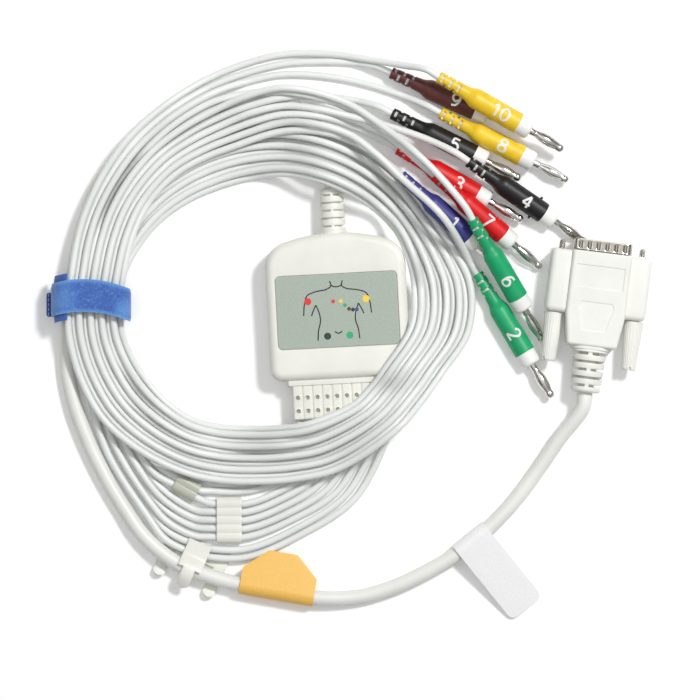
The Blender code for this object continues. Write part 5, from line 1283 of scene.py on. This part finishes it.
# The figure on the label, in millimetres from its middle: lines of a torso, mirrored, and its plain dots
FIGURE = (
    ((2.6, 12.2), (2.2, 10.2), (4.0, 8.9), (9.0, 8.0), (12.2, 6.6), (13.4, 3.4), (14.0, -1.6)),
    ((8.8, 2.6), (7.6, -0.6), (7.2, -4.0), (8.2, -8.0), (8.6, -12.0)),
    ((8.8, 2.6), (9.9, 0.4), (10.8, -1.8)),
    ((2.4, 10.6), (1.2, 9.9), (0.0, 9.7)),
    ((0.0, -9.4), (0.7, -9.2), (1.5, -8.6)),
)
DOTS = (
    (-12.0, 4.2, 1.45, "red"), (12.0, 4.2, 1.45, "yellow"), (-4.6, -10.4, 1.45, "black"),
    (4.6, -10.4, 1.45, "green"), (-1.6, 3.8, 0.8, "red"), (1.6, 3.8, 0.8, "yellow"), (3.2, 2.0, 0.8, "green"),
    (4.8, 0.4, 0.8, "brown"), (6.4, 0.0, 0.8, "black"), (8.0, 0.0, 0.8, "blue"),
)


class CABLE_OT_junction_box(Step, bpy.types.Operator):
    """Junction box: two shells with a seam, the sunk label and its plain torso figure"""

    bl_idname = "cable.junction_box"
    bl_label = "Junction box"

    def execute(self, context):
        """Make the shells, the label and its print."""
        self.shells()
        self.label()
        self.figure()
        board = moulded("board_green", (0.10, 0.36, 0.20), 0.5)
        frame["nodes"]["protection_board"].material_slots[0].material = board
        return {"FINISHED"}

    def stacked(self, name, material, rows, slot, node):
        """A piece of outlines and their heights, all read in the same directions."""
        grid = stack((about_label(outline), z) for outline, z in rows)
        solid(name, material, YOKE_PLACE, [grid], slot=slot, replaces=(node,))

    def shells(self):
        """Each shell is a stack of outlines: seam, wall, round edge, and above, the label's sunk place."""
        white = moulded("shell_white", self.colours.shell, 0.40)
        seam = YOKE_HEIGHT / 2
        rows = [(yoke_outline(inset), seam + z) for inset, z in SEAM_EDGE]
        for turn in quarter_circle(9):
            inset, drop = YOKE_EDGE * (1 - math.cos(turn)), YOKE_EDGE * (1 - math.sin(turn))
            rows.append((yoke_outline(inset), YOKE_HEIGHT - drop))
        rows += [(label_outline(grow), YOKE_HEIGHT - z) for grow, z in LABEL_WELL]
        self.stacked("upper_shell", white, rows, "shell_white", "yoke_upper_shell")
        rows = [(yoke_outline(inset), seam - z) for inset, z in SEAM_EDGE]
        rows += [(yoke_outline(inset), z) for inset, z in FOOT_EDGE]
        self.stacked("lower_shell", white, rows, "shell_white", "yoke_lower_shell")

    def label(self):
        """The film with its round rim."""
        film = printed_film("label_film", self.colours.label, 0.10)
        rows = [(label_outline(grow), LABEL_TOP - z) for grow, z in LABEL_EDGE]
        self.stacked("label", film, rows, "label_grey", "yoke_label")

    def figure(self):
        """Thin torso lines and round dots on the film."""
        low = LABEL_TOP - PRINT_SINK
        strokes = [flat_stroke(np.array(line) * (side, 1), FIGURE_HALF, low, LABEL_TOP + LINE_LIFT)
                   for line in FIGURE for side in (1, -1)]
        solid("label_figure", ink("figure_black", (0.10, 0.10, 0.10)), YOKE_PLACE, strokes, slot="label_grey")
        dots = Form(CHANNELS)
        last = 360 - 360 / DOT_SIDES
        for x, y, r, colour in DOTS:
            circle = arc(LABEL_AT[0] + x * MM, LABEL_AT[1] + y * MM, r * MM, 0, last, DOT_SIDES - 1)
            disc = stack((circle, z) for z in (low, LABEL_TOP + DOT_LIFT))
            tint = linear(getattr(self.colours, colour))
            dots.add(placed(disc, YOKE_PLACE), **dict(zip(CHANNELS, tint)))
        dots.build("label_dots", dot_ink("dot_print"), slot="label_grey")


class CABLE_OT_lead_block(Step, bpy.types.Operator):
    """Strain-relief block: ten grooved fingers with two rows of pits, and its lip on the box"""

    bl_idname = "cable.lead_block"
    bl_label = "Strain-relief block"

    def execute(self, context):
        """Carry the fingers' section along the block and sink the pits into its top."""
        middle = (0.0, 0.0, YOKE_HEIGHT / 2)
        back = BLOCK_FRONT - LIP_LENGTH
        tall, front = BLOCK_THICK / 2 + LIP_PROUD, BLOCK_FRONT + LIP_SINK
        lip = stand(slab(LIP_HALF, tall, LIP_CORNER, back, front, LIP_EDGE))
        white = moulded("block_white", shade(self.colours.shell, 0.985), 0.38)
        solid("block", white, YOKE_PLACE, [self.fingers(back) + middle, lip + middle], slot="shell_white",
              replaces=("lead_block",))
        return {"FINISHED"}

    def fingers(self, back):
        """The block about its middle: a high power of the place in a finger makes the grooves beside it."""
        fine, coarse = FINGER_COLUMNS
        x = np.linspace(-BLOCK_HALF, BLOCK_HALF, fine)
        cell = (x / LEAD_PITCH + LEADS / 2) % 1.0 - 0.5
        cell[[0, -1]] = (-0.5, 0.5)
        groove = GROOVE_DEPTH * np.abs(2 * cell) ** GROOVE_POWER
        y = np.concatenate([[BLOCK_FRONT + BLOCK_SINK], np.linspace(back, BLOCK_END, FINGER_ROWS)])
        shrink = roll_off(BLOCK_END + BLOCK_RIM - y, BLOCK_RIM)
        top = BLOCK_THICK / 2 - groove[None] - shrink[:, None]
        for row in PIT_ROWS:
            away = np.hypot(cell[None] * LEAD_PITCH, y[:, None] - BLOCK_END - row)
            top = top - PIT_DEPTH * (1 - ease(PIT_FLOOR, PIT_R, away))
            top = top + PIT_RIM * np.exp(-((away - PIT_RING) / PIT_RING_R) ** 2)
        under = np.linspace(BLOCK_HALF, -BLOCK_HALF, coarse)
        low = np.broadcast_to(-BLOCK_THICK / 2 + shrink[:, None], (len(y), len(under)))
        across = np.broadcast_to(np.concatenate([x, under]), (len(y), len(x) + len(under)))
        along = np.broadcast_to(y[:, None], across.shape)
        return np.stack([across, along, np.concatenate([top, low], axis=1)], axis=-1)


# Bend reliefs

def slotted_relief(length, base_r, end_r, deep, slot):
    """A bend relief turned about X: a taper with slots across it.

    Each slot is stopped by two webs, which turn by a quarter from one slot to the next.
    """
    x = np.linspace(0.0, length, RELIEF_ROWS)
    angle = full_circle(RELIEF_SIDES)[None, :]
    sunk = np.zeros((RELIEF_ROWS, RELIEF_SIDES))
    waist = np.zeros(RELIEF_ROWS)
    for n in range(RELIEF_SLOTS):
        at = length / RELIEF_PITCHES * (n + RELIEF_FIRST)
        web = ease(*WEB_SINES, np.abs(np.cos(angle + n * math.pi / 2)))
        sunk = np.maximum(sunk, bump(x, at, at + slot, SLOT_SLOPE)[:, None] * web)
        waist = np.maximum(waist, np.exp(-((x - at - slot / 2) / slot) ** 2))
    plain = base_r + (end_r - base_r) * x / length - roll_off(x - length + RELIEF_RIM, RELIEF_RIM)
    return spun(x, (plain - RELIEF_WAIST * waist)[:, None] - deep * sunk, RELIEF_SIDES)


class CABLE_OT_reliefs(Step, bpy.types.Operator):
    """Slotted bend reliefs of the trunk, on the junction box and on the connector"""

    bl_idname = "cable.reliefs"
    bl_label = "Bend reliefs"

    def execute(self, context):
        """Turn both reliefs and stand each on its housing."""
        root = (0.0, YOKE_TOP, YOKE_HEIGHT / 2)
        grids = [along_y(grid) + root for grid in (slotted_relief(*BOX_RELIEF), lathe(BOX_RING, RING_SIDES))]
        solid("box_relief", moulded("relief_white", self.colours.shell, 0.40), YOKE_PLACE, grids,
              slot="shell_white", replaces=("yoke_relief",))
        grids = [along_y(slotted_relief(*PLUG_RELIEF)) * (-1.0, -1.0, 1.0) + (0.0, -HOOD_LENGTH, 0.0)]
        for half_x, half_z, start, end in HOOD_STEPS:
            low, high = end - HOOD_LENGTH, start - HOOD_LENGTH
            grids.append(stand(slab(half_x, half_z, STEP_CORNER, low, high, STEP_EDGE)))
        solid("plug_relief", moulded("plug_relief_white", self.colours.hood, 0.42), HOOD_PLACE, grids,
              slot="hood_white", replaces=("connector_relief",))
        return {"FINISHED"}


# Connector

def hood_section():
    """The hood's section as columns: pull to a side, pull up or down, and the angle round the corner.

    The corners are quarter circles; between them lie a finely divided top and a coarse underside.
    """
    corner = quarter_circle(6)
    fine, coarse = HOOD_COLUMNS
    top, under = np.linspace(1, -1, fine)[1:-1], np.linspace(-1, 1, coarse)[1:-1]
    flat = np.ones(len(corner))
    pull_x = np.concatenate([flat, top, -flat, -flat, under, flat])
    pull_z = np.concatenate([flat, np.ones(len(top)), flat, -flat, -np.ones(len(under)), -flat])
    bend = np.concatenate([corner, np.full(len(top), math.pi / 2), corner + math.pi / 2, corner + math.pi,
                           np.full(len(under), 1.5 * math.pi), corner + 1.5 * math.pi])
    return pull_x, pull_z, bend


def hood_grid():
    """The hood's middle: a round-cornered oblong carried along Y, with two sunk fields on its top.

    The front field is a plain oblong. The rear one is a trapezium with cut corners whose floor is hatched by
    slanting ridges.
    """
    y = np.linspace(0.0, -HOOD_LENGTH, HOOD_ROWS)
    half = np.interp(y, (-HOOD_LENGTH, -EAR_LENGTH, 0.0), (HOOD_WAIST, HOOD_HALF, HOOD_HALF))
    shrink = (roll_off(y + HOOD_FRONT_RIM, HOOD_FRONT_RIM)
              + roll_off(-HOOD_LENGTH + HOOD_REAR_RIM - y, HOOD_REAR_RIM))[:, None]
    pull_x, pull_z, bend = hood_section()
    x = pull_x[None] * (half[:, None] - HOOD_CORNER - shrink) + HOOD_CORNER * np.cos(bend)[None]
    z = pull_z[None] * (HOOD_HEIGHT / 2 - HOOD_CORNER - shrink) + HOOD_CORNER * np.sin(bend)[None]
    deep = np.broadcast_to(y[:, None], x.shape)
    field = np.minimum(FIELD_HALF - np.abs(x), np.minimum(FIELD_Y[1] - deep, deep - FIELD_Y[0]))
    slant = np.interp(y, GRIP_Y, GRIP_HALF)[:, None]
    grip = np.minimum(slant - np.abs(x), np.minimum(GRIP_Y[-1] - deep, deep - GRIP_Y[0]))
    ridge = 0.5 + 0.5 * np.sin((x + deep) * FULL_TURN / RIDGE_PITCH)
    sink = FIELD_DEPTH * ease(0.0, SINK_SLOPE, field)
    sink = sink + (GRIP_DEPTH - RIDGE_HEIGHT * ridge) * ease(0.0, SINK_SLOPE, grip)
    z = z - sink * ((bend == math.pi / 2) & (pull_z > 0))[None]
    return np.stack([x, deep, z], axis=-1)


def d_outline(inset):
    """The connector's D in its mating plane, x across and y up, wide at the top."""
    half, tall = SHELL_HALF[0] - inset, SHELL_HALF[1] - inset
    r = SHELL_CORNER - inset
    lean = math.degrees(SHELL_SLANT)
    top = half - r * math.tan(SHELL_SLANT) - r / math.cos(SHELL_SLANT)
    bottom = top - 2 * (tall - r) * math.tan(SHELL_SLANT)
    outline = np.vstack([arc(bottom, r - tall, r, -90, -lean), arc(top, tall - r, r, -lean, 90),
                         arc(-top, tall - r, r, 90, 180 + lean), arc(-bottom, r - tall, r, 180 + lean, 270)])
    return even(outline, D_POINTS, closed=True)


class CABLE_OT_connector(Step, bpy.types.Operator):
    """D connector: moulded hood with ears, plated shell with dimples, insert and fifteen contacts"""

    bl_idname = "cable.connector"
    bl_label = "D connector"

    def execute(self, context):
        """Make the hood, its metal and what the metal holds."""
        white = moulded("hood_white", self.colours.hood, 0.46, 0.00022, 0.00003)
        ear = stand(slab(*EAR_HALF, EAR_CORNER, -EAR_LENGTH, 0.0, EAR_EDGE, steps=6))
        ears = [ear + (side * EAR_MIDDLE, 0.0, 0.0) for side in (-1, 1)]
        solid("hood", white, HOOD_PLACE, [hood_grid(), *ears], slot="hood_white",
              replaces=("connector_hood",))
        self.metal(plated("shell_plating", (0.84, 0.82, 0.78), 0.17))
        rows = stack((d_outline(inset), y) for inset, y in INSERT)
        black = moulded("insert_black", (0.06, 0.06, 0.065), 0.45)
        solid("insert", black, HOOD_PLACE, [stand(rows)], slot="insert_black", replaces=("contact_insert",))
        self.contacts()
        return {"FINISHED"}

    def metal(self, plating):
        """The shell: the D carried along a profile from flange to rim and back, dimpled on its flats."""
        outline = d_outline(0.0)
        ahead = headings(outline, closed=True)
        out = np.column_stack([ahead[:, 1], -ahead[:, 0]])
        offset, depth = (np.vstack([SHELL_FOOT, SHELL_WALL, SHELL_RIM]) * MM).T
        spots = np.linspace(-DENT_REACH, DENT_REACH, DENTS)
        flats = np.abs(out[:, 1]) > FLAT_FACING
        dent = np.exp(-(((outline[:, :1] - spots) / DENT_R) ** 2)).max(axis=1) * flats
        pressed = bump(depth, *DENT_ENDS) * (offset >= 0)
        shift = offset[:, None] - DENT_DEPTH * pressed[:, None] * dent[None]
        flat = outline[None] + out[None] * shift[..., None]
        grid = np.concatenate([flat, np.broadcast_to(depth[:, None, None], (*flat.shape[:2], 1))], axis=-1)
        shell = Form()
        shell.add(placed(stand(grid), HOOD_PLACE), ends=False, along=True)
        shell.add(placed(stand(slab(*FLANGE, steps=2)), HOOD_PLACE))
        shell.build("shell", plating, slot="plated_metal", replaces=("connector_shell",))

    def contacts(self):
        """Fifteen round contacts in two rows, eight above seven."""
        gold = plated("contact_plating", (0.86, 0.74, 0.45), 0.2)
        contact = along_y(lathe(CONTACT, CONTACT_SIDES))
        grids = [contact + (x, 0.0, row * CONTACT_ROW) for row, count in CONTACT_COUNTS
                 for x in CONTACT_PITCH * (np.arange(count) - (count - 1) / 2)]
        solid("contacts", gold, HOOD_PLACE, grids, slot="plated_metal")


class CABLE_OT_thumbscrews(Step, bpy.types.Operator):
    """Two fluted thumbscrews with a driver slot, on their own axes"""

    bl_idname = "cable.thumbscrews"
    bl_label = "Thumbscrews"

    def execute(self, context):
        """Make each head and its screw, riding on its own body."""
        white = moulded("thumbscrew_white", self.colours.hood, 0.44)
        steel = plated("screw_steel", (0.86, 0.85, 0.84), 0.26)
        for name, side, twist in (("left", -1, math.radians(48)), ("right", 1, 0.0)):
            body = name + "_thumbscrew"
            shift = (side * SCREW_SPACING / 2, 0.0, 0.0)
            solid(name + "_head", white, HOOD_PLACE, [along_y(self.head(twist)) + shift], body=body,
                  slot="hood_white", replaces=(body,))
            solid(name + "_screw", steel, HOOD_PLACE, [along_y(self.screw()) + shift], body=body,
                  slot="plated_metal")
        return {"FINISHED"}

    def head(self, twist):
        """A taper turned about X with fine flutes; points of the slot's columns stop at the slot's floor."""
        face = np.linspace(*KNOB_FACE, KNOB_ROWS[0])
        edge_x, edge_r = np.array(KNOB_EDGE).T
        shaft = np.concatenate([np.linspace(*KNOB_SHAFT, KNOB_ROWS[1]), KNOB_RIM])
        x = np.concatenate([np.full(len(face), KNOB_REAR), KNOB_REAR + edge_x, shaft])
        taper = KNOB_R[0] + (KNOB_R[1] - KNOB_R[0]) * (shaft - KNOB_REAR) / (KNOB_FRONT - KNOB_REAR)
        taper[-1] -= KNOB_CHAMFER
        plain = np.concatenate([face, edge_r, taper])
        angle = full_circle(KNOB_SIDES)
        fluted = bump(x, *FLUTE_ENDS)[:, None]
        radius = plain[:, None] - FLUTE_DEPTH * (0.5 + 0.5 * np.cos(angle * FLUTES))[None] * fluted
        grid = spun(x, radius, KNOB_SIDES)
        across = np.abs(radius * np.cos(angle + twist)[None])
        floor = np.where(across < SLOT_HALF, KNOB_REAR + SLOT_DEPTH, KNOB_REAR)
        grid[..., 0] = np.maximum(grid[..., 0], floor)
        return grid

    def screw(self):
        """A screw turned about X: its radius follows a thread that climbs once a turn."""
        x = np.linspace(*SCREW_ENDS, SCREW_ROWS)
        turns = FULL_TURN * x[:, None] / THREAD_PITCH - full_circle(SCREW_SIDES)[None]
        taper = 1 - SCREW_TAPER * ease(SCREW_POINT, SCREW_ENDS[1], x)[:, None]
        return spun(x, (SCREW_R + THREAD_DEPTH * (0.5 + 0.5 * np.sin(turns))) * taper, SCREW_SIDES)


# Things on the coil

# The tie from its side, (x, z) in millimetres: its folded tail, and the head on the bundle's shoulder
TAIL_LINE = ((-115.7, 5.6), (-116.9, 5.7), (-117.65, 6.9), (-117.65, 11.0), (-116.8, 14.1), (-114.7, 16.3),
             (-112.7, 17.15), (-109.8, 17.25), (-106.0, 16.4), (-100.0, 15.95), (-94.0, 15.95),
             (-91.0, 15.95), (-88.3, 15.3), (-86.5, 13.5), (-85.85, 11.0), (-85.85, 8.8))
HEAD_LINE = ((-116.5, 7.6), (-116.5, 11.0), (-115.8, 13.5), (-114.0, 15.3), (-112.5, 15.95), (-111.2, 16.05))


def tie_bow(x):
    """How far the tie's middle leans across the bundle: a shallow arch along it."""
    return BOW_TOP - ((x - BOW_X) / BOW_REACH) ** 2 * BOW_DROP


def side_on(line):
    """A line (x, z) in the upright plane along the tie."""
    return np.column_stack([line[:, 0], np.zeros(len(line)), line[:, 1]])


def side_line(points):
    """A smooth line through points (x, z) in millimetres, in that plane."""
    return side_on(even(smooth_line(np.array(points) * MM, STRAP_STEPS), STRAP_POINTS))


def woven(line, half, thick, closed=False):
    """A form with a strap along a line, bowed across the bundle and marked with its weave.

    The marks are the distance along the strap and across it, and 1 at its edges and its cut end.
    """
    grid, soft = strap(line, half, thick, closed=closed)
    grid[..., 1] += TIE_Y + tie_bow(grid[..., 0])
    run = run_along(line)
    hem = 0.0 if closed else 1 - ease(0.0, HEM, run[-1] - run)[:, None]
    edge = np.maximum(ease(*SELVEDGE, np.abs(soft))[None], hem)
    form = Form(("run", "across", "edge"))
    form.add(grid, ends=not closed, along=closed, run=run[:, None], across=half * soft[None], edge=edge)
    return form


class CABLE_OT_tie(Step, bpy.types.Operator):
    """Hook-and-loop tie: a band round the bundle, a slotted head and the tail folded back over it"""

    bl_idname = "cable.tie"
    bl_label = "Tie"

    def execute(self, context):
        """Carry the strap round the bundle and over it."""
        blue = self.colours.tie
        fabric = loop_fabric("tie_loops", blue, (0.44, 0.66, 0.90), shade(blue, 0.78))
        dark = loop_fabric("tie_hooks", shade(blue, 0.72), shade(blue, 0.95), shade(blue, 0.55))
        loop = rounded((TIE_RIGHT - TIE_LEFT - TIE_THICK) / 2, (TIE_TOP - TIE_THICK) / 2, TIE_FOLD)
        loop = even(loop + ((TIE_LEFT + TIE_RIGHT) / 2, TIE_TOP / 2), STRAP_POINTS, closed=True)
        band = woven(side_on(loop), BAND_HALF, TIE_THICK, closed=True)
        band.build("tie_band", dark, slot="tie_blue", replaces=("tie_strap",))
        woven(side_line(TAIL_LINE), TIE_HALF, TAIL_THICK).build("tie_tail", fabric, slot="tie_blue")
        self.head(dark)
        return {"FINISHED"}

    def head(self, dark):
        """The wide head on the bundle's left shoulder, the bar beside it, and the bar's stitches."""
        form = woven(side_line(HEAD_LINE), HEAD_HALF, HEAD_THICK)
        bar = slab(*BAR)
        form.add(bar + BAR_AT, run=bar[..., 1], across=bar[..., 0])
        form.build("tie_head", dark, slot="tie_blue")
        pale = loop_fabric("stitch_pale", (0.62, 0.70, 0.90), (0.75, 0.80, 0.95), (0.5, 0.6, 0.85))
        share = np.linspace(-1, 1, STITCH_POINTS)
        rise = STITCH_RISE * np.cos(STITCH_TURN * share)
        stitch = np.column_stack([np.zeros(len(share)), STITCH_HALF * share, rise])
        thread = Form()
        for y in np.linspace(-STITCH_REACH, STITCH_REACH, STITCHES):
            thread.add(tube(stitch + STITCH_AT + (0.0, y, 0.0), THREAD_R, THREAD_SIDES))
        thread.build("tie_stitches", pale, slot="tie_blue")


# Wire keepers: name, body, leads held, pitch, middle (x, y) and turn, colour and slot
KEEPERS = (
    ("keeper_five", "keeper_five", 5, 0.0034667, (-0.0450, -0.083733), 0.0, "shell", "keeper_clear"),
    ("keeper_two", SET, 2, 0.0032058, (-0.062769, -0.070236), math.radians(-29.392), "grey", "keeper_grey"),
)

# Their wall: which end, distance in from it, and share of the way from the outer to the inner outline
KEEPER_WALL = ((-1, 0.0, 0.12), (-1, 0.0002, 0.02), (-1, 0.0006, 0.0), (1, 0.0006, 0.0), (1, 0.0002, 0.02),
               (1, 0.0, 0.12), (1, 0.0, 0.9), (1, 0.0003, 1.0), (-1, 0.0003, 1.0), (-1, 0.0, 0.9))


def row_outline(count, pitch, r):
    """The outline round a row of circles, flat at the bottom.

    Above, it is the highest of the circles, with the dips between them half filled.
    """
    fine, coarse = ROW_POINTS
    half = pitch * (count - 1) / 2
    end = half + r
    x = end * np.sin(np.linspace(math.pi / 2, -math.pi / 2, fine * count))
    nearest = np.clip(np.round((x + half) / pitch), 0, count - 1) * pitch - half
    z = np.sqrt(np.maximum(r ** 2 - (x - nearest) ** 2, 0))
    z = np.where(np.abs(x) < half, (z + r) / 2, z)
    z[[0, -1]] = 0.0
    under = np.linspace(-end, end, coarse * count)[1:-1]
    corner = np.clip((np.abs(under) - half) / r, 0, 1)
    low = -r * np.sqrt(np.maximum(1 - corner ** KEEPER_FOOT, 0))
    return np.vstack([np.column_stack([x, z]), np.column_stack([under, low])])


class CABLE_OT_keepers(Step, bpy.types.Operator):
    """Two sleeves that keep leads side by side; the larger one slides on its leads"""

    bl_idname = "cable.keepers"
    bl_label = "Wire keepers"

    def execute(self, context):
        """Carry the corrugated outline along each keeper, out over the rim and back inside."""
        for name, body, count, pitch, spot, turn, colour, slot in KEEPERS:
            outer = row_outline(count, pitch, KEEPER_R)
            inner = row_outline(count, pitch, KEEPER_BORE)
            rows = []
            for end, inset, share in KEEPER_WALL:
                x = np.full(len(outer), end * (KEEPER_HALF - inset))
                rows.append(np.column_stack([x, outer + (inner - outer) * share]))
            form = Form()
            form.add(placed(np.array(rows), turned((*spot, KEEPER_R), turn)), ends=False, along=True)
            tint = getattr(self.colours, colour)
            form.build(name + "_sleeve", moulded(slot, tint, 0.3), body, slot, (name,))
        return {"FINISHED"}


# The clip's lines, (y, z) across the cords: the outer prongs under them, the pad and the middle prong over
CLIP_UNDER = ((0.0030, 0.0007), (0.0100, 0.0007), (0.0128, 0.0011), (0.0150, 0.0022), (0.0167, 0.0034))
CLIP_PAD = ((-0.0031, 0.0059), (0.0010, 0.0059), (0.0036, 0.0061), (0.0056, 0.0078), (0.0072, 0.0091),
            (0.0084, 0.0095))
CLIP_OVER = ((0.0068, 0.0089), (0.0090, 0.0096), (0.0122, 0.0092), (0.0150, 0.0076), (0.0168, 0.0060))
ACROSS_X = (1.0, 0.0, 0.0)


class CABLE_OT_clip(Step, bpy.types.Operator):
    """Three-prong clip: a base with two prongs under the cords, a pad and a middle prong over them"""

    bl_idname = "cable.clip"
    bl_label = "Prong clip"

    def execute(self, context):
        """Make the clip of straps and slabs: along it x, across the cords y."""
        base = slab(*CLIP_BASE) + (0.0, BASE_Y, 0.0)
        wall = slab(*CLIP_WALL) + (0.0, WALL_Y, 0.0)
        pad = strap(self.line(0.0, CLIP_PAD, *PAD_FINE), PAD_HALF, CLIP_THICK, ACROSS_X)[0]
        under = [self.prong(x, CLIP_UNDER) for x in (-FINGER_X, FINGER_X)]
        # The shell's white made a little lighter for the clip: painted light against the shade it lies in
        # under the trunk
        white = moulded("clip_white", shade(self.colours.shell, 1.02), 0.3)
        grids = [base, *under, pad, wall, self.prong(0.0, CLIP_OVER)]
        solid("clip", white, turned(CLIP_AT, CLIP_TURN), grids, slot="shell_white", replaces=("prong_clip",))
        return {"FINISHED"}

    def line(self, x, points, steps, count):
        """A smooth line through points (y, z) at one x."""
        return even(smooth_line([(x, *point) for point in points], steps), count)

    def prong(self, x, points):
        """A flat prong along a smooth line, its tip drawn in to a half circle."""
        line = self.line(x, points, *PRONG_FINE)
        left = np.linalg.norm(line - line[-1], axis=1)
        share = np.clip(1 - np.clip(1 - left / FINGER_HALF, 0, 1) ** 2, FINGER_TIP, 1)
        return strap(line, FINGER_HALF * np.sqrt(share), CLIP_THICK, ACROSS_X)[0]


# Tags: name, node, middle, turn, half width, reach, drop of the end, side, corners (across,
# along, cut straight), colour, slot
TAGS = (
    ("orange_flag", "orange_tag", (-0.025301, -0.113004, 0.0047), -9.932, 0.0155, 0.0160, 0.0007, 1,
     (0.0095, 0.0085, True), "orange", "tag_orange"),
    ("white_flag", "flag_tag", (0.055834, -0.092284, 0.0046), 38.826, 0.0080, 0.0362, 0.0032, -1,
     (0.0030, 0.0030, False), "white_tag", "tag_white"),
)


class CABLE_OT_tags(Step, bpy.types.Operator):
    """Two blank tags: film that wraps the trunk and lies together as a flag with cut corners"""

    bl_idname = "cable.tags"
    bl_label = "Tags"

    def execute(self, context):
        """Carry a flat film round the trunk and out to the flag's end, its width drawn in at the corners."""
        for name, node, spot, turn, half, reach, drop, side, (cut_x, cut_y, straight), colour, slot in TAGS:
            path = self.round_trunk(self.sizes.trunk_diameter / 2 + FILM_ROOM, reach, drop)
            line = np.column_stack([np.zeros(len(path)), side * path[:, 0], path[:, 1]])
            near = np.clip((path[:, 0] - reach + cut_y) / cut_y, 0, 1)
            width = half - cut_x * (near if straight else 1 - np.sqrt(1 - near ** 2))
            film = printed_film("film_" + colour, getattr(self.colours, colour), 0.05)
            grid = strap(line, width, FILM_THICK, ACROSS_X)[0]
            solid(name, film, turned(spot, math.radians(turn)), [grid], slot=slot, replaces=(node,))
        return {"FINISHED"}

    def round_trunk(self, r, reach, drop):
        """The film seen along the trunk: in along the flag's underside, round the trunk and out again.

        The upper stretch touches the circle where a line from the flag's end is tangent to it; the lower one
        leaves the flag a little way off and meets the circle from below.
        """
        back_points, out_points, turn_steps = FILM_POINTS
        end = np.array([reach, -drop])
        over = math.atan2(-drop, reach) + math.acos(r / np.hypot(*end))
        touch = r * np.array([math.cos(over), math.sin(over)])
        part = touch + (end - touch) * FILM_PARTS - (0.0, FILM_GAP)
        under = math.atan2(part[1], part[0]) - math.acos(r / np.hypot(*part))
        back = np.linspace(end - (0.0, FILM_GAP), part, back_points)
        turn = arc(0.0, 0.0, r, math.degrees(under), math.degrees(over) - 360, turn_steps)
        return np.vstack([back, turn, np.linspace(touch, end, out_points)[1:]])


STEPS = (CABLE_OT_stage, CABLE_OT_plugs, CABLE_OT_tags, CABLE_OT_cords, CABLE_OT_junction_box,
         CABLE_OT_lead_block, CABLE_OT_reliefs, CABLE_OT_connector, CABLE_OT_thumbscrews, CABLE_OT_tie,
         CABLE_OT_keepers, CABLE_OT_clip)


class CABLE_PT_steps(bpy.types.Panel):
    """Settings and steps of the patient cable"""

    bl_label = "Patient cable"
    bl_space_type = "VIEW_3D"
    bl_region_type = "UI"
    bl_category = "Patient cable"

    def draw(self, context):
        """List the settings and one button for each step."""
        layout = self.layout
        for group in (context.scene.cable_sizes, context.scene.cable_colours):
            for name in type(group).__annotations__:
                layout.prop(group, name)
        for step in STEPS:
            layout.operator(step.bl_idname)


CLASSES = (CableSizes, CableColours, *STEPS, CABLE_PT_steps)


def register():
    """Register the classes and hang the settings on the scene."""
    for item in CLASSES:
        bpy.utils.register_class(item)
    bpy.types.Scene.cable_sizes = PointerProperty(type=CableSizes)
    bpy.types.Scene.cable_colours = PointerProperty(type=CableColours)


def unregister():
    """Take the settings and the classes away again."""
    del bpy.types.Scene.cable_colours
    del bpy.types.Scene.cable_sizes
    for item in reversed(CLASSES):
        bpy.utils.unregister_class(item)


def main():
    """Run every step in order."""
    register()
    for step in STEPS:
        group, name = step.bl_idname.split(".")
        getattr(getattr(bpy.ops, group), name)()


if __name__ == "__main__":
    main()
